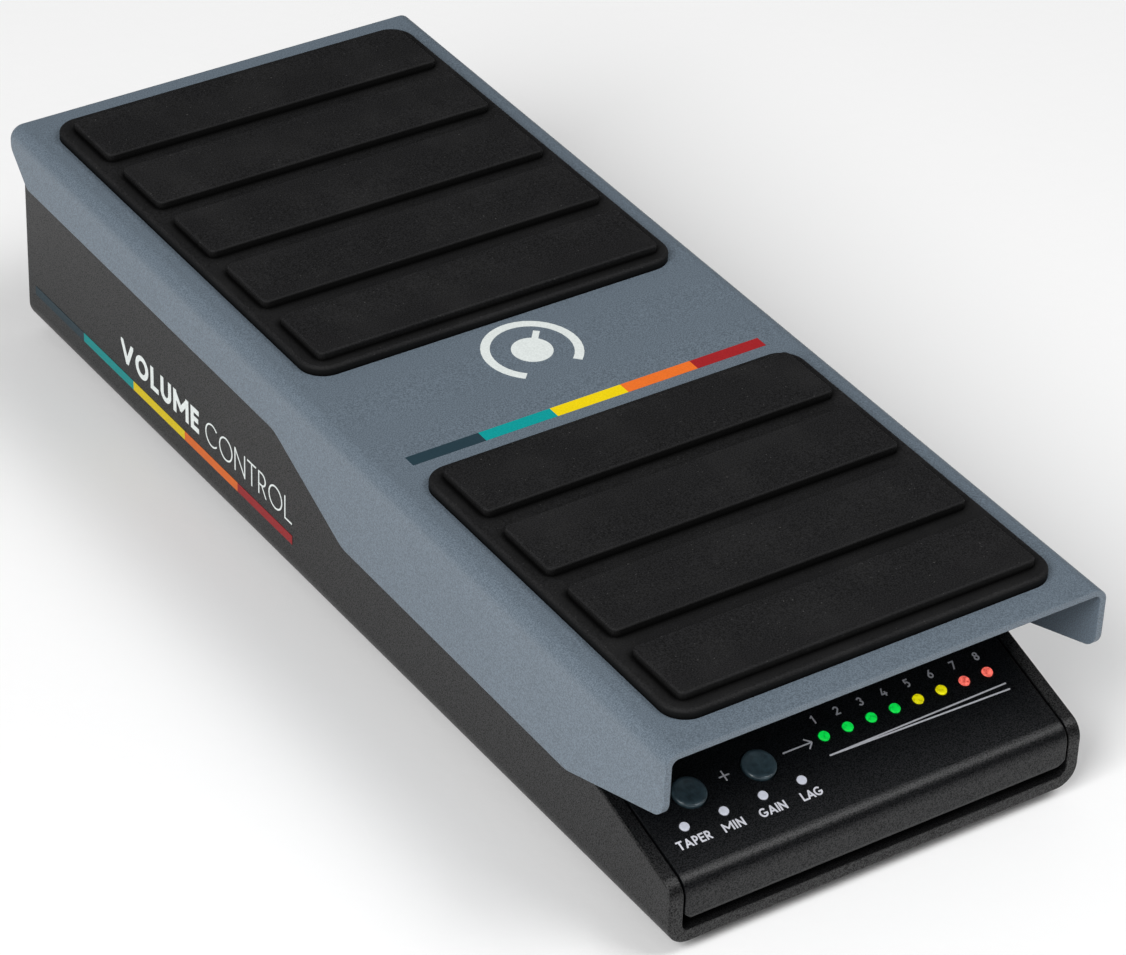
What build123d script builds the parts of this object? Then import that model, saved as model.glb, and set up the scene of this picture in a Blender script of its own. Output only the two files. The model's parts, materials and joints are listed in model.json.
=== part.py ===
from build123d import *
import math
import os

# Volume pedal, millimetres. +X right, +Y from heel to toe, +Z up.
# Origin: on the ground, under the middle of the pedal. It stands toe down, as it rests.

# ---------------------------------------------------------------- driving dimensions
PEDAL_WIDTH = 110.0       # outer width of the treadle
HEEL_Y = -135.8           # heel edge of the treadle plate
TOE_Y = 136.2             # toe edge of the treadle plate
BASE_WIDTH = 104.6
BASE_FRONT_Y = -136.2     # heel end of the base, where the control panel is
BASE_REAR_Y = 135.6
FOOT_HEIGHT = 3.0
WALL = 3.2                # aluminium channel
WALL_BEND = 5.2
FRONT_WALL_TOP = FOOT_HEIGHT + 14.9
SLOPE = 17.76             # degrees, control panel and the walls beside it
DECK_Z = 49.6             # level top of the walls and of the cover
CREST_Y = BASE_FRONT_Y + (DECK_Z - FRONT_WALL_TOP) / math.tan(math.radians(SLOPE))

SHEET = 1.5               # steel sheet of the treadle and the cover
TREADLE_TILT = 0.87       # degrees, toe end higher
TREADLE_TOP_Z = 54.8      # top of the plate at y = 0
TREADLE_BEND = 3.2
PIVOT_Y = -35.4
PIVOT_Z = 37.7
AXLE_D = 8.0
RUNNING_GAP = 0.05        # on the radius, between a shaft and its bush

COVER_GAP = 0.6           # cover to channel wall, each side
COVER_WIDTH = BASE_WIDTH - 2 * WALL - 2 * COVER_GAP
COVER_FRONT_Z = FOOT_HEIGHT + 5.0
COVER_REAR_Y = 130.8
COVER_BENDS = [2.0, 4.4, 10.0, 3.0, 2.0]     # outer radii, from the front foot to the rear
FLANGE_LENGTH = 14.0      # feet of the cover, bent inwards
FLOOR_Z = FOOT_HEIGHT + WALL

STOP_GAP = 0.3            # air left between a stop and the treadle at the end of its travel

# control panel, in its own plane: x across, s up the slope from the front corner
LEVEL_LED_X = [-1.2 + 6.07 * i for i in range(8)]
LEVEL_LED_S = 20.1
MODE_LED_X = [-41.0 + 9.71 * i for i in range(4)]
MODE_LED_S = 12.6
BUTTON_X = [-35.6, -18.3]
BUTTON_S = 19.3
BUTTON_D = 7.6
BUTTON_PROUD = 0.8
BUTTON_DISH = 0.5
BUTTON_DISH_R = 2.9
PANEL_BOARD_DEPTH = 7.5   # from the panel's face to the top of the control board
BOARD = 1.6

# gear train: a toothed sector on the treadle turns a pinion on the potentiometer
MODULE = 0.8
PINION_TEETH = 15
SECTOR_TEETH = 150        # of the whole circle
PRESSURE_ANGLE = 20.0
BACKLASH = 0.16
MESH_ANGLE = -8.0         # degrees, direction from the pivot to the pinion
SECTOR_X = -34.0          # face against the bracket's left ear
SECTOR_THICKNESS = 5.0
PINION_R = MODULE * PINION_TEETH / 2
SECTOR_R = MODULE * SECTOR_TEETH / 2
MESH = (PINION_R + SECTOR_R, math.radians(MESH_ANGLE))
POT_Y = PIVOT_Y + MESH[0] * math.cos(MESH[1])
POT_Z = PIVOT_Z + MESH[0] * math.sin(MESH[1])

EAR_OUTER_X = 36.0        # treadle bracket
EAR_SHEET = 2.0
STAND_INNER_X = 38.0      # pivot stand
STAND_SHEET = 2.5
POT_PLATE_X = -21.5       # face of the potentiometer's bracket
SHAFT_D = 6.0

JACK_X = [-36.0, -12.0, 12.0]
JACK_Z = 27.9
JACK_BORE_R = 3.25
JACK_BODY = (15.5, 28.0, 17.4)
JACK_NOSE = 5.9           # threaded length through the rear face
JACK_WASHER = 0.8
DC_X = 36.0
DC_Z = 25.9
MAIN_BOARD_Z = 17.6

SLOPE_RAD = math.radians(SLOPE)
TILT_RAD = math.radians(TREADLE_TILT)
PANEL = Plane(
    origin=(0, BASE_FRONT_Y, FRONT_WALL_TOP),
    x_dir=(1, 0, 0),
    z_dir=(0, -math.sin(SLOPE_RAD), math.cos(SLOPE_RAD)),
)
TREADLE = Plane(
    origin=(0, 0, TREADLE_TOP_Z),
    x_dir=(1, 0, 0),
    z_dir=(0, -math.sin(TILT_RAD), math.cos(TILT_RAD)),
)
PIVOT_ON_TREADLE = TREADLE.to_local_coords(Vector(0, PIVOT_Y, PIVOT_Z))


# ---------------------------------------------------------------- shared helpers
def save(builder, name):
    """Label a finished piece and write it."""
    builder.part.label = name
    export_step(builder.part, f"parts/{name}.step")


def side_plane(plane, x=0.0):
    """Plane across the pedal at x, its own x along the plane's length, its y up."""
    return Plane(origin=plane.origin + plane.x_dir * x, x_dir=plane.y_dir, z_dir=plane.x_dir)


def section_plane(plane, depth):
    """Cross-section plane of a sheet part, its origin the given depth below the plane."""
    return Plane(origin=plane.origin - plane.z_dir * depth, x_dir=plane.x_dir, z_dir=-plane.y_dir)


def yz_plane(x, y=0.0, z=0.0):
    """Plane facing +X through a point, with local x along Y and local y along Z."""
    return Plane(origin=(x, y, z), x_dir=(0, 1, 0), z_dir=(1, 0, 0))


def half_tube(width, height, sheet, bend, keep_top):
    """U-shaped section: one half of a rounded tube whose centre is the sketch's origin."""
    RectangleRounded(width, 2 * height, bend)
    RectangleRounded(width - 2 * sheet, 2 * (height - sheet), bend - sheet, mode=Mode.SUBTRACT)
    with Locations((0, -height / 2 if keep_top else height / 2)):
        Rectangle(width, height, mode=Mode.SUBTRACT)


def discs(plane, spots, radius):
    """Circles at several spots of a plane."""
    with BuildSketch(plane) as sketch:
        with Locations(*spots):
            Circle(radius)
    return sketch.sketch


def hexagons(plane, spots, across_flats, hole_r):
    """Outlines of nuts, or of hexagonal spacers, at several spots of a plane."""
    with BuildSketch(plane) as sketch:
        with Locations(*spots):
            RegularPolygon(across_flats / 2, 6, major_radius=False)
            Circle(hole_r, mode=Mode.SUBTRACT)
    return sketch.sketch


def nuts(plane, spots, size, thread_d):
    """Hexagon nuts standing on a plane, their size as across flats and height."""
    across_flats, height = size
    extrude(hexagons(plane, spots, across_flats, thread_d / 2), amount=height)


def faces_at(plane, height):
    """Flat faces of the piece in hand that lie at a height over a plane."""
    flat = faces().filter_by(GeomType.PLANE)
    return flat.filter_by(lambda f: abs(plane.to_local_coords(f.center()).Z - height) < 0.01)


def pan_screws(plane, spots, shank_d, shank_length, head):
    """Pan-head screws: the shank runs along the plane's normal, the head lies behind it."""
    head_d, head_height = head
    extrude(discs(plane, spots, shank_d / 2), amount=shank_length)
    extrude(discs(plane, spots, head_d / 2), amount=-head_height)
    fillet(faces_at(plane, -head_height).edges(), head_height * 0.3)


# ---------------------------------------------------------------- base
FOOT_SPOTS = [(x, y) for x in (-38, 38) for y in (-112, 112)]
STAND_SPOTS = [(x, y) for x in (-26, 26) for y in (PIVOT_Y - 18, PIVOT_Y + 18)]
FRONT_FIXINGS = [(-30, -129.5), (30, -129.5)]
REAR_FIXINGS = [(-24, 124), (24, 124)]
POT_BRACKET_SPOTS = [(-8, POT_Y - 7), (-8, POT_Y + 7)]
BOARD_SPOTS = [(x, y) for x in (-40, 40) for y in (56, 96)]
M3_FLOOR_SPOTS = FOOT_SPOTS + FRONT_FIXINGS + REAR_FIXINGS + POT_BRACKET_SPOTS + BOARD_SPOTS
FOOT_D = 16.0
FOOT_RECESS = 1.6         # the screw's head sits this deep in the foot
M3 = 3.0
M4 = 4.0
M3_HEAD = (5.6, 1.8)      # diameter and height
M4_HEAD = (7.6, 2.2)
M3_NUT = (5.5, 2.0)       # across flats, and height
M4_NUT = (7.0, 3.2)
EDGE = 0.5                # filed edges of the thick channel


def base_outline():
    """Side view of the channel: low at the heel, sloping up to a level top."""
    with BuildSketch(Plane.YZ) as outline:
        with BuildLine():
            Polyline(
                (BASE_FRONT_Y, FOOT_HEIGHT),
                (BASE_REAR_Y, FOOT_HEIGHT),
                (BASE_REAR_Y, DECK_Z),
                (CREST_Y, DECK_Z),
                (BASE_FRONT_Y, FRONT_WALL_TOP),
                close=True,
            )
        make_face()
        front = vertices().group_by(Axis.X)[0].sort_by(Axis.Y)[-1:]
        crest = vertices().group_by(Axis.Y)[-1].sort_by(Axis.X)[:1]
        rear = vertices().group_by(Axis.Y)[-1].sort_by(Axis.X)[-1:]
        fillet(front, 4.5)
        fillet(rear, 3.0)
        fillet(crest, 10.0)
    return outline.sketch


def make_base_channel():
    height = DECK_Z - FOOT_HEIGHT
    with BuildPart() as base_channel:
        with BuildSketch(section_plane(Plane.XY.offset(DECK_Z), 0)):
            half_tube(BASE_WIDTH, height, WALL, WALL_BEND, keep_top=False)
        extrude(amount=200, both=True)
        extrude(base_outline(), amount=BASE_WIDTH, both=True, mode=Mode.INTERSECT)
        outer_sides = faces().sort_by(Axis.X)[:1] + faces().sort_by(Axis.X)[-1:]
        bend_top = FOOT_HEIGHT + WALL_BEND + 0.01
        fillet(outer_sides.edges().filter_by(lambda edge: edge.center().Z > bend_top), EDGE)
        with BuildSketch(Plane.XY.offset(FOOT_HEIGHT)):
            with Locations(*M3_FLOOR_SPOTS):
                Circle(M3 / 2)
            with Locations(*STAND_SPOTS):
                Circle(M4 / 2)
        extrude(amount=WALL, mode=Mode.SUBTRACT)
    save(base_channel, "base_channel")


def make_rubber_feet():
    with BuildPart() as rubber_feet:
        with BuildSketch():
            with Locations(*FOOT_SPOTS):
                Circle(FOOT_D / 2)
                Circle(3.5, mode=Mode.SUBTRACT)
        extrude(amount=FOOT_RECESS)
        with BuildSketch(Plane.XY.offset(FOOT_RECESS)):
            with Locations(*FOOT_SPOTS):
                Circle(FOOT_D / 2)
                Circle(M3 / 2, mode=Mode.SUBTRACT)
        extrude(amount=FOOT_HEIGHT - FOOT_RECESS)
    save(rubber_feet, "rubber_feet")


def make_floor_screws():
    """Every screw that comes up through the floor of the channel."""
    floor = Plane.XY.offset(FOOT_HEIGHT)
    with BuildPart() as foot_screws:
        pan_screws(Plane.XY.offset(FOOT_RECESS), FOOT_SPOTS, M3, 6.4, (5.6, 1.3))
    save(foot_screws, "foot_screws")
    with BuildPart() as cover_screws:
        pan_screws(floor, FRONT_FIXINGS, M3, 8.8, M3_HEAD)
        pan_screws(floor, REAR_FIXINGS, M3, 7.4, M3_HEAD)
    save(cover_screws, "cover_screws")
    with BuildPart() as stand_screws:
        pan_screws(floor, STAND_SPOTS, M4, 10.0, M4_HEAD)
    save(stand_screws, "stand_screws")
    with BuildPart() as pot_bracket_screws:
        pan_screws(floor, POT_BRACKET_SPOTS, M3, 8.4, M3_HEAD)
    save(pot_bracket_screws, "pot_bracket_screws")
    with BuildPart() as board_screws:
        pan_screws(floor, BOARD_SPOTS, M3, 8.4, M3_HEAD)
        top = Plane(origin=(0, 0, MAIN_BOARD_Z + BOARD), x_dir=(1, 0, 0), z_dir=(0, 0, -1))
        pan_screws(top, [(x, -y) for x, y in BOARD_SPOTS], M3, 5.6, M3_HEAD)
    save(board_screws, "board_screws")


# ---------------------------------------------------------------- cover
def cover_path():
    """Closed side view of the cover's sheet, from its front foot to its rear foot."""
    front_foot = BASE_FRONT_Y + FLANGE_LENGTH
    rear_foot = COVER_REAR_Y - FLANGE_LENGTH
    with BuildSketch(Plane.YZ) as path:
        with BuildLine():
            FilletPolyline(
                (front_foot, COVER_FRONT_Z),
                (BASE_FRONT_Y, COVER_FRONT_Z),
                (BASE_FRONT_Y, FRONT_WALL_TOP),
                (CREST_Y, DECK_Z),
                (COVER_REAR_Y, DECK_Z),
                (COVER_REAR_Y, FLOOR_Z),
                (rear_foot, FLOOR_Z),
                radius=COVER_BENDS,
            )
            offset(amount=SHEET, side=Side.RIGHT)
        make_face()
    return path.sketch


OPENING = (75.0, -78.0, 34.0)     # width, heel end and toe end of the hole in the cover's top
LED_HOLE_R = 1.35
MODE_HOLE_R = 1.2
BUTTON_HOLE_R = BUTTON_D / 2 + 0.2
JACK_THREAD_D = 11.0
DC_HOLE_R = 5.4
COVER_CORNER = 2.6


def corner_cuts(lowest_z):
    """Triangles that take the two lower corners off the cover, seen from the heel."""
    edge = COVER_WIDTH / 2
    with BuildSketch(Plane.XZ) as cuts:
        for side in (-1, 1):
            with BuildLine() as outline:
                Polyline(
                    (side * edge, lowest_z),
                    (side * (edge - COVER_CORNER), lowest_z),
                    (side * edge, lowest_z + COVER_CORNER),
                    close=True,
                )
            make_face(outline.edges())
    return cuts.sketch


def make_cover():
    with BuildPart() as cover:
        extrude(cover_path(), amount=COVER_WIDTH / 2, both=True)
        with BuildSketch(PANEL.offset(2)):
            with Locations(*[(x, LEVEL_LED_S) for x in LEVEL_LED_X]):
                Circle(LED_HOLE_R)
            with Locations(*[(x, MODE_LED_S) for x in MODE_LED_X]):
                Circle(MODE_HOLE_R)
            with Locations(*[(x, BUTTON_S) for x in BUTTON_X]):
                Circle(BUTTON_HOLE_R)
        extrude(amount=-5, mode=Mode.SUBTRACT)
        extrude(corner_cuts(COVER_FRONT_Z), amount=-BASE_FRONT_Y + 1, mode=Mode.SUBTRACT)
        extrude(corner_cuts(FLOOR_Z), amount=-BASE_REAR_Y, mode=Mode.SUBTRACT)
        width, heel, toe = OPENING
        with BuildSketch(Plane.XY.offset(DECK_Z + 1)):
            with Locations((0, (heel + toe) / 2)):
                RectangleRounded(width, toe - heel, 4)
        extrude(amount=-25, mode=Mode.SUBTRACT)
        with BuildSketch(Plane.XY.offset(FLOOR_Z - 1)):
            with Locations(*FRONT_FIXINGS, *REAR_FIXINGS):
                Circle(M3 / 2)
        extrude(amount=8, mode=Mode.SUBTRACT)
        with BuildSketch(Plane.XZ.offset(-COVER_REAR_Y - 1)):
            with Locations(*[(x, JACK_Z) for x in JACK_X]):
                Circle(JACK_THREAD_D / 2)
            with Locations((DC_X, DC_Z)):
                Circle(DC_HOLE_R)
        extrude(amount=4, mode=Mode.SUBTRACT)
        with BuildSketch(Plane.XY.offset(DECK_Z + 1)):
            with Locations(*[(x, TOE_STOP_Y) for x in STOP_X]):
                Circle(STOP_STEM_D / 2)
        extrude(amount=-4, mode=Mode.SUBTRACT)
        with BuildSketch(PANEL.offset(1)):
            with Locations(*[(x, HEEL_STOP_S) for x in STOP_X]):
                Circle(STOP_STEM_D / 2)
        extrude(amount=-4, mode=Mode.SUBTRACT)
    save(cover, "cover")


def make_cover_fixings():
    with BuildPart() as cover_spacers:
        with BuildSketch(Plane.XY.offset(FLOOR_Z)):
            with Locations(*FRONT_FIXINGS):
                Circle(3.5)
                Circle(M3 / 2, mode=Mode.SUBTRACT)
        extrude(amount=COVER_FRONT_Z - FLOOR_Z)
    save(cover_spacers, "cover_spacers")
    with BuildPart() as cover_nuts:
        nuts(Plane.XY.offset(COVER_FRONT_Z + SHEET), FRONT_FIXINGS, M3_NUT, M3)
        nuts(Plane.XY.offset(FLOOR_Z + SHEET), REAR_FIXINGS, M3_NUT, M3)
    save(cover_nuts, "cover_nuts")


# ---------------------------------------------------------------- stops
STOP_X = [-28.0, 28.0]
STOP_D = 12.0
STOP_STEM_D = 4.0
TOE_STOP_Y = 104.0
HEEL_STOP_S = 50.0
PIVOT_DEPTH_TREADLE = -PIVOT_ON_TREADLE.Z - SHEET
PIVOT_DEPTH_PANEL = -PANEL.to_local_coords(Vector(0, PIVOT_Y, PIVOT_Z)).Z
HEEL_STOP_HEIGHT = PIVOT_DEPTH_TREADLE - PIVOT_DEPTH_PANEL - STOP_GAP


def rubber_stops(plane, spots, height):
    """Round buffers, each with a barbed stem pressed through the sheet."""
    extrude(discs(plane, spots, STOP_D / 2), amount=height)
    extrude(discs(plane, spots, STOP_STEM_D / 2), amount=-(SHEET + 1.5))


def make_stops():
    nearest_y = TOE_STOP_Y - STOP_D / 2
    plate_top = TREADLE_TOP_Z + nearest_y * math.tan(TILT_RAD)
    toe_underside = plate_top - SHEET / math.cos(TILT_RAD)
    with BuildPart() as toe_stops:
        spots = [(x, TOE_STOP_Y) for x in STOP_X]
        rubber_stops(Plane.XY.offset(DECK_Z), spots, toe_underside - STOP_GAP - DECK_Z)
    save(toe_stops, "toe_stops")
    with BuildPart() as heel_stops:
        rubber_stops(PANEL, [(x, HEEL_STOP_S) for x in STOP_X], HEEL_STOP_HEIGHT)
    save(heel_stops, "heel_stops")


# ---------------------------------------------------------------- pivot stand and axle
STAND_Y = (PIVOT_Y - 26, PIVOT_Y + 26)
STAND_TOP_R = 9.0
WASHER = 1.0
NUT_AF = 13.0


def make_pivot_stand():
    outer = STAND_INNER_X + STAND_SHEET
    height = PIVOT_Z + STAND_TOP_R - FLOOR_Z
    with BuildPart() as pivot_stand:
        with BuildSketch(section_plane(Plane.XY.offset(FLOOR_Z + height), 0)):
            half_tube(2 * outer, height, STAND_SHEET, 4.0, keep_top=False)
        extrude(amount=100, both=True)
        with BuildSketch(Plane.YZ):
            with BuildLine():
                Polyline(
                    (STAND_Y[0], FLOOR_Z),
                    (STAND_Y[1], FLOOR_Z),
                    (STAND_Y[1], FLOOR_Z + 9),
                    (PIVOT_Y + STAND_TOP_R, PIVOT_Z),
                    (PIVOT_Y - STAND_TOP_R, PIVOT_Z),
                    (STAND_Y[0], FLOOR_Z + 9),
                    close=True,
                )
            make_face()
            with Locations((PIVOT_Y, PIVOT_Z)):
                Circle(STAND_TOP_R)
        extrude(amount=outer, both=True, mode=Mode.INTERSECT)
        with BuildSketch(yz_plane(0, PIVOT_Y, PIVOT_Z)):
            Circle(AXLE_D / 2)
        extrude(amount=outer, both=True, mode=Mode.SUBTRACT)
        with BuildSketch(Plane.XY.offset(FLOOR_Z)):
            with Locations(*STAND_SPOTS):
                Circle(M4 / 2)
        extrude(amount=STAND_SHEET, mode=Mode.SUBTRACT)
    save(pivot_stand, "pivot_stand")
    with BuildPart() as stand_nuts:
        nuts(Plane.XY.offset(FLOOR_Z + STAND_SHEET), STAND_SPOTS, M4_NUT, M4)
    save(stand_nuts, "stand_nuts")


def make_axle():
    face = STAND_INNER_X + STAND_SHEET
    with BuildPart() as axle_bolt:
        with BuildSketch(yz_plane(-face - WASHER, PIVOT_Y, PIVOT_Z)):
            Circle(AXLE_D / 2)
        extrude(amount=2 * face + 2 * WASHER + 6.3)
        with BuildSketch(yz_plane(-face - WASHER, PIVOT_Y, PIVOT_Z)):
            RegularPolygon(NUT_AF / 2, 6, major_radius=False)
        extrude(amount=-5)
        chamfer(faces().sort_by(Axis.X)[-1].edges(), 0.6)
    save(axle_bolt, "axle_bolt")
    with BuildPart() as axle_nut:
        with BuildSketch(yz_plane(face + WASHER, PIVOT_Y, PIVOT_Z)):
            RegularPolygon(NUT_AF / 2, 6, major_radius=False)
            Circle(AXLE_D / 2, mode=Mode.SUBTRACT)
        extrude(amount=5)
    save(axle_nut, "axle_nut")
    with BuildPart() as axle_washers:
        for x in (-face - WASHER, face):
            with BuildSketch(yz_plane(x, PIVOT_Y, PIVOT_Z)):
                Circle(8)
                Circle(AXLE_D / 2, mode=Mode.SUBTRACT)
            extrude(amount=WASHER)
    save(axle_washers, "axle_washers")
    with BuildPart() as friction_washers:
        for x in (-STAND_INNER_X, STAND_INNER_X - FRICTION_WASHER):
            with BuildSketch(yz_plane(x, PIVOT_Y, PIVOT_Z)):
                Circle(7.5)
                Circle(AXLE_D / 2, mode=Mode.SUBTRACT)
            extrude(amount=FRICTION_WASHER)
    save(friction_washers, "friction_washers")


# ---------------------------------------------------------------- treadle
FLANGE_NARROW = 13.1
FLANGE_DEEP = 26.6
FLANGE_HEEL = 15.1
BUSH_D = 10.0
BUSH_FLANGE = 1.0
FRICTION_WASHER = STAND_INNER_X - EAR_OUTER_X - BUSH_FLANGE - 0.3
TREADLE_SPOTS = [(x, y) for x in (-22, 22) for y in (-56, 28)]
TREADLE_SCREW_HEAD = (8.0, 1.5)       # diameter and height


def treadle_outline():
    """Side view of the treadle: narrow flange at the toe, deep round the pivot."""
    with BuildSketch(side_plane(TREADLE)) as outline:
        with BuildLine():
            Polyline(
                (HEEL_Y, 0),
                (TOE_Y, 0),
                (TOE_Y, -5.6),
                (TOE_Y - 7.5, -FLANGE_NARROW),
                (14.7, -FLANGE_NARROW),
                (-14.4, -FLANGE_DEEP),
                (-102.0, -FLANGE_DEEP),
                (HEEL_Y, -FLANGE_HEEL),
                close=True,
            )
        make_face()
        ends = vertices().group_by(Axis.X)
        fillet(ends[0].sort_by(Axis.Y)[:1], 4.5)
        fillet(vertices().group_by(Axis.X)[-1].sort_by(Axis.Y)[:1], 3.0)
        below = vertices().filter_by(lambda v: v.Y < -FLANGE_NARROW + 0.01)
        fillet(below.filter_by(lambda v: HEEL_Y + 20 < v.X < 20), 8.0)
        fillet(vertices().filter_by(lambda v: v.X > 100 and v.Y < -FLANGE_NARROW + 0.01), 3.0)
    return outline.sketch


def make_treadle_plate():
    with BuildPart() as treadle_plate:
        with BuildSketch(section_plane(TREADLE, FLANGE_DEEP)):
            half_tube(PEDAL_WIDTH, FLANGE_DEEP, SHEET, TREADLE_BEND, keep_top=True)
        extrude(amount=200, both=True)
        extrude(treadle_outline(), amount=PEDAL_WIDTH, both=True, mode=Mode.INTERSECT)
        with BuildSketch(TREADLE):
            with Locations(*TREADLE_SPOTS):
                Circle(M4 / 2)
        extrude(amount=-SHEET, mode=Mode.SUBTRACT)
    save(treadle_plate, "treadle_plate")


BRACKET_Y = (-66.0, 40.0)
EAR_R = 15.0


def make_treadle_bracket():
    top = SHEET
    drop = -PIVOT_ON_TREADLE.Z + EAR_R
    with BuildPart() as treadle_bracket:
        with BuildSketch(section_plane(TREADLE, top + drop)):
            half_tube(2 * EAR_OUTER_X, drop, EAR_SHEET, 3.5, keep_top=True)
        extrude(amount=100, both=True)
        with BuildSketch(side_plane(TREADLE)):
            with Locations(((BRACKET_Y[0] + BRACKET_Y[1]) / 2, -top)):
                Rectangle(BRACKET_Y[1] - BRACKET_Y[0], EAR_SHEET, align=(Align.CENTER, Align.MAX))
            with BuildLine():
                Polyline(
                    (PIVOT_ON_TREADLE.Y - 26, -top),
                    (PIVOT_ON_TREADLE.Y + 26, -top),
                    (PIVOT_ON_TREADLE.Y + EAR_R, PIVOT_ON_TREADLE.Z),
                    (PIVOT_ON_TREADLE.Y - EAR_R, PIVOT_ON_TREADLE.Z),
                    close=True,
                )
            make_face()
            with Locations((PIVOT_ON_TREADLE.Y, PIVOT_ON_TREADLE.Z)):
                Circle(EAR_R)
        extrude(amount=EAR_OUTER_X, both=True, mode=Mode.INTERSECT)
        with BuildSketch(yz_plane(0, PIVOT_Y, PIVOT_Z)):
            Circle(BUSH_D / 2)
        extrude(amount=EAR_OUTER_X, both=True, mode=Mode.SUBTRACT)
        with BuildSketch(yz_plane(-EAR_OUTER_X, PIVOT_Y, PIVOT_Z)):
            with Locations(*SECTOR_SPOTS):
                Circle(M3 / 2)
        extrude(amount=EAR_SHEET, mode=Mode.SUBTRACT)
        with BuildSketch(TREADLE.offset(-SHEET)):
            with Locations(*TREADLE_SPOTS):
                Circle(M4 / 2)
        extrude(amount=-EAR_SHEET, mode=Mode.SUBTRACT)
    save(treadle_bracket, "treadle_bracket")


def make_treadle_fixings():
    down = Plane(origin=TREADLE.origin, x_dir=TREADLE.x_dir, z_dir=-TREADLE.z_dir)
    with BuildPart() as treadle_screws:
        spots = [(x, -y) for x, y in TREADLE_SPOTS]
        pan_screws(down, spots, M4, SHEET + EAR_SHEET, TREADLE_SCREW_HEAD)
    save(treadle_screws, "treadle_screws")
    with BuildPart() as pivot_bushes:
        for side in (-1, 1):
            inner = yz_plane(side * (EAR_OUTER_X - EAR_SHEET), PIVOT_Y, PIVOT_Z)
            with BuildSketch(inner):
                Circle(BUSH_D / 2)
                Circle(AXLE_D / 2 + RUNNING_GAP, mode=Mode.SUBTRACT)
            extrude(amount=side * EAR_SHEET)
            with BuildSketch(yz_plane(side * EAR_OUTER_X, PIVOT_Y, PIVOT_Z)):
                Circle(7)
                Circle(AXLE_D / 2 + RUNNING_GAP, mode=Mode.SUBTRACT)
            extrude(amount=side * BUSH_FLANGE)
    save(pivot_bushes, "pivot_bushes")


# ---------------------------------------------------------------- treads
RIB_LENGTH = 89.0
RIB_WIDTH = 17.85
RIB_PITCH = 23.6
RIB_TOP = 4.36
PAD_SLAB = 2.3
PAD_HALF_WIDTH = 48.0
TOE_PAD = (9.8, 129.5, 5, 125.0)       # near edge, far edge, ribs, far edge of the first rib
HEEL_PAD = (-128.7, -33.0, 4, -36.5)
SLAB_EDGE = 0.9
RIB_EDGE = 0.5
POCKET_R = 4.4
POCKET_DEPTH = 1.8


def make_tread_pad(name, near, far, ribs, first_rib):
    """Moulded rubber tread: a slab with flat cross ribs, hollow over the hidden screws."""
    with BuildPart() as pad:
        with BuildSketch(TREADLE):
            with Locations((0, (near + far) / 2)):
                RectangleRounded(2 * PAD_HALF_WIDTH, far - near, 6.0)
        extrude(amount=PAD_SLAB)
        fillet(faces_at(TREADLE, PAD_SLAB).edges(), SLAB_EDGE)
        with BuildSketch(TREADLE.offset(PAD_SLAB)):
            with Locations(*[(0, first_rib - RIB_WIDTH / 2 - RIB_PITCH * i) for i in range(ribs)]):
                RectangleRounded(RIB_LENGTH, RIB_WIDTH, 1.5)
        extrude(amount=RIB_TOP - PAD_SLAB)
        fillet(faces_at(TREADLE, RIB_TOP).edges(), RIB_EDGE)
        spots = [spot for spot in TREADLE_SPOTS if near < spot[1] < far]
        with BuildSketch(TREADLE):
            with Locations(*spots):
                Circle(POCKET_R)
        extrude(amount=POCKET_DEPTH, mode=Mode.SUBTRACT)
    save(pad, name)


# ---------------------------------------------------------------- gear train
SECTOR_SPOTS = [(11.8, 5.5), (7.1, -10.9)]
SECTOR_HUB_R = 16.5
SECTOR_HUB_TOP = 11.4     # cut off flat under the bracket
SECTOR_LIGHTENING = [(42.0, 7.5), (27.0, 4.0)]     # holes: from the pivot, radius
SECTOR_ADDENDUM = 0.68
PINION_ADDENDUM = 0.8
TIP_CLEARANCE = 0.2
SECTOR_TOOTH_STEPS = range(-9, 3)


def involute(angle):
    return math.tan(angle) - angle


def tooth_half_angle(radius, pitch_r):
    """Half the angle that a tooth fills at a radius, the same below the base circle."""
    pressure = math.radians(PRESSURE_ANGLE)
    base_r = pitch_r * math.cos(pressure)
    at_pitch = (math.pi * MODULE / 2 - BACKLASH / 2) / (2 * pitch_r)
    slant = math.acos(min(1.0, base_r / radius))
    return at_pitch + involute(pressure) - involute(slant)


def tooth(pitch_r, root_r, tip_r, direction):
    """One involute tooth, its middle at a direction in radians, round the sketch's origin."""
    steps = 6
    base_r = pitch_r * math.cos(math.radians(PRESSURE_ANGLE))
    start_r = max(base_r, root_r)
    radii = [start_r + (tip_r - start_r) * i / steps for i in range(steps + 1)]
    sides = []
    for sign in (-1, 1):
        flank = [(r, direction + sign * tooth_half_angle(r, pitch_r)) for r in radii]
        sides.append([(r * math.cos(a), r * math.sin(a)) for r, a in flank])
    foot_r = root_r - 0.3
    feet = []
    for sign in (-1, 1):
        a = direction + sign * tooth_half_angle(start_r, pitch_r)
        feet.append((foot_r * math.cos(a), foot_r * math.sin(a)))
    with BuildLine() as outline:
        Spline(*sides[0])
        Line(sides[0][-1], sides[1][-1])
        Spline(*sides[1])
        Line(sides[1][0], feet[1])
        Line(feet[1], feet[0])
        Line(feet[0], sides[0][0])
    make_face(outline.edges())


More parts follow.
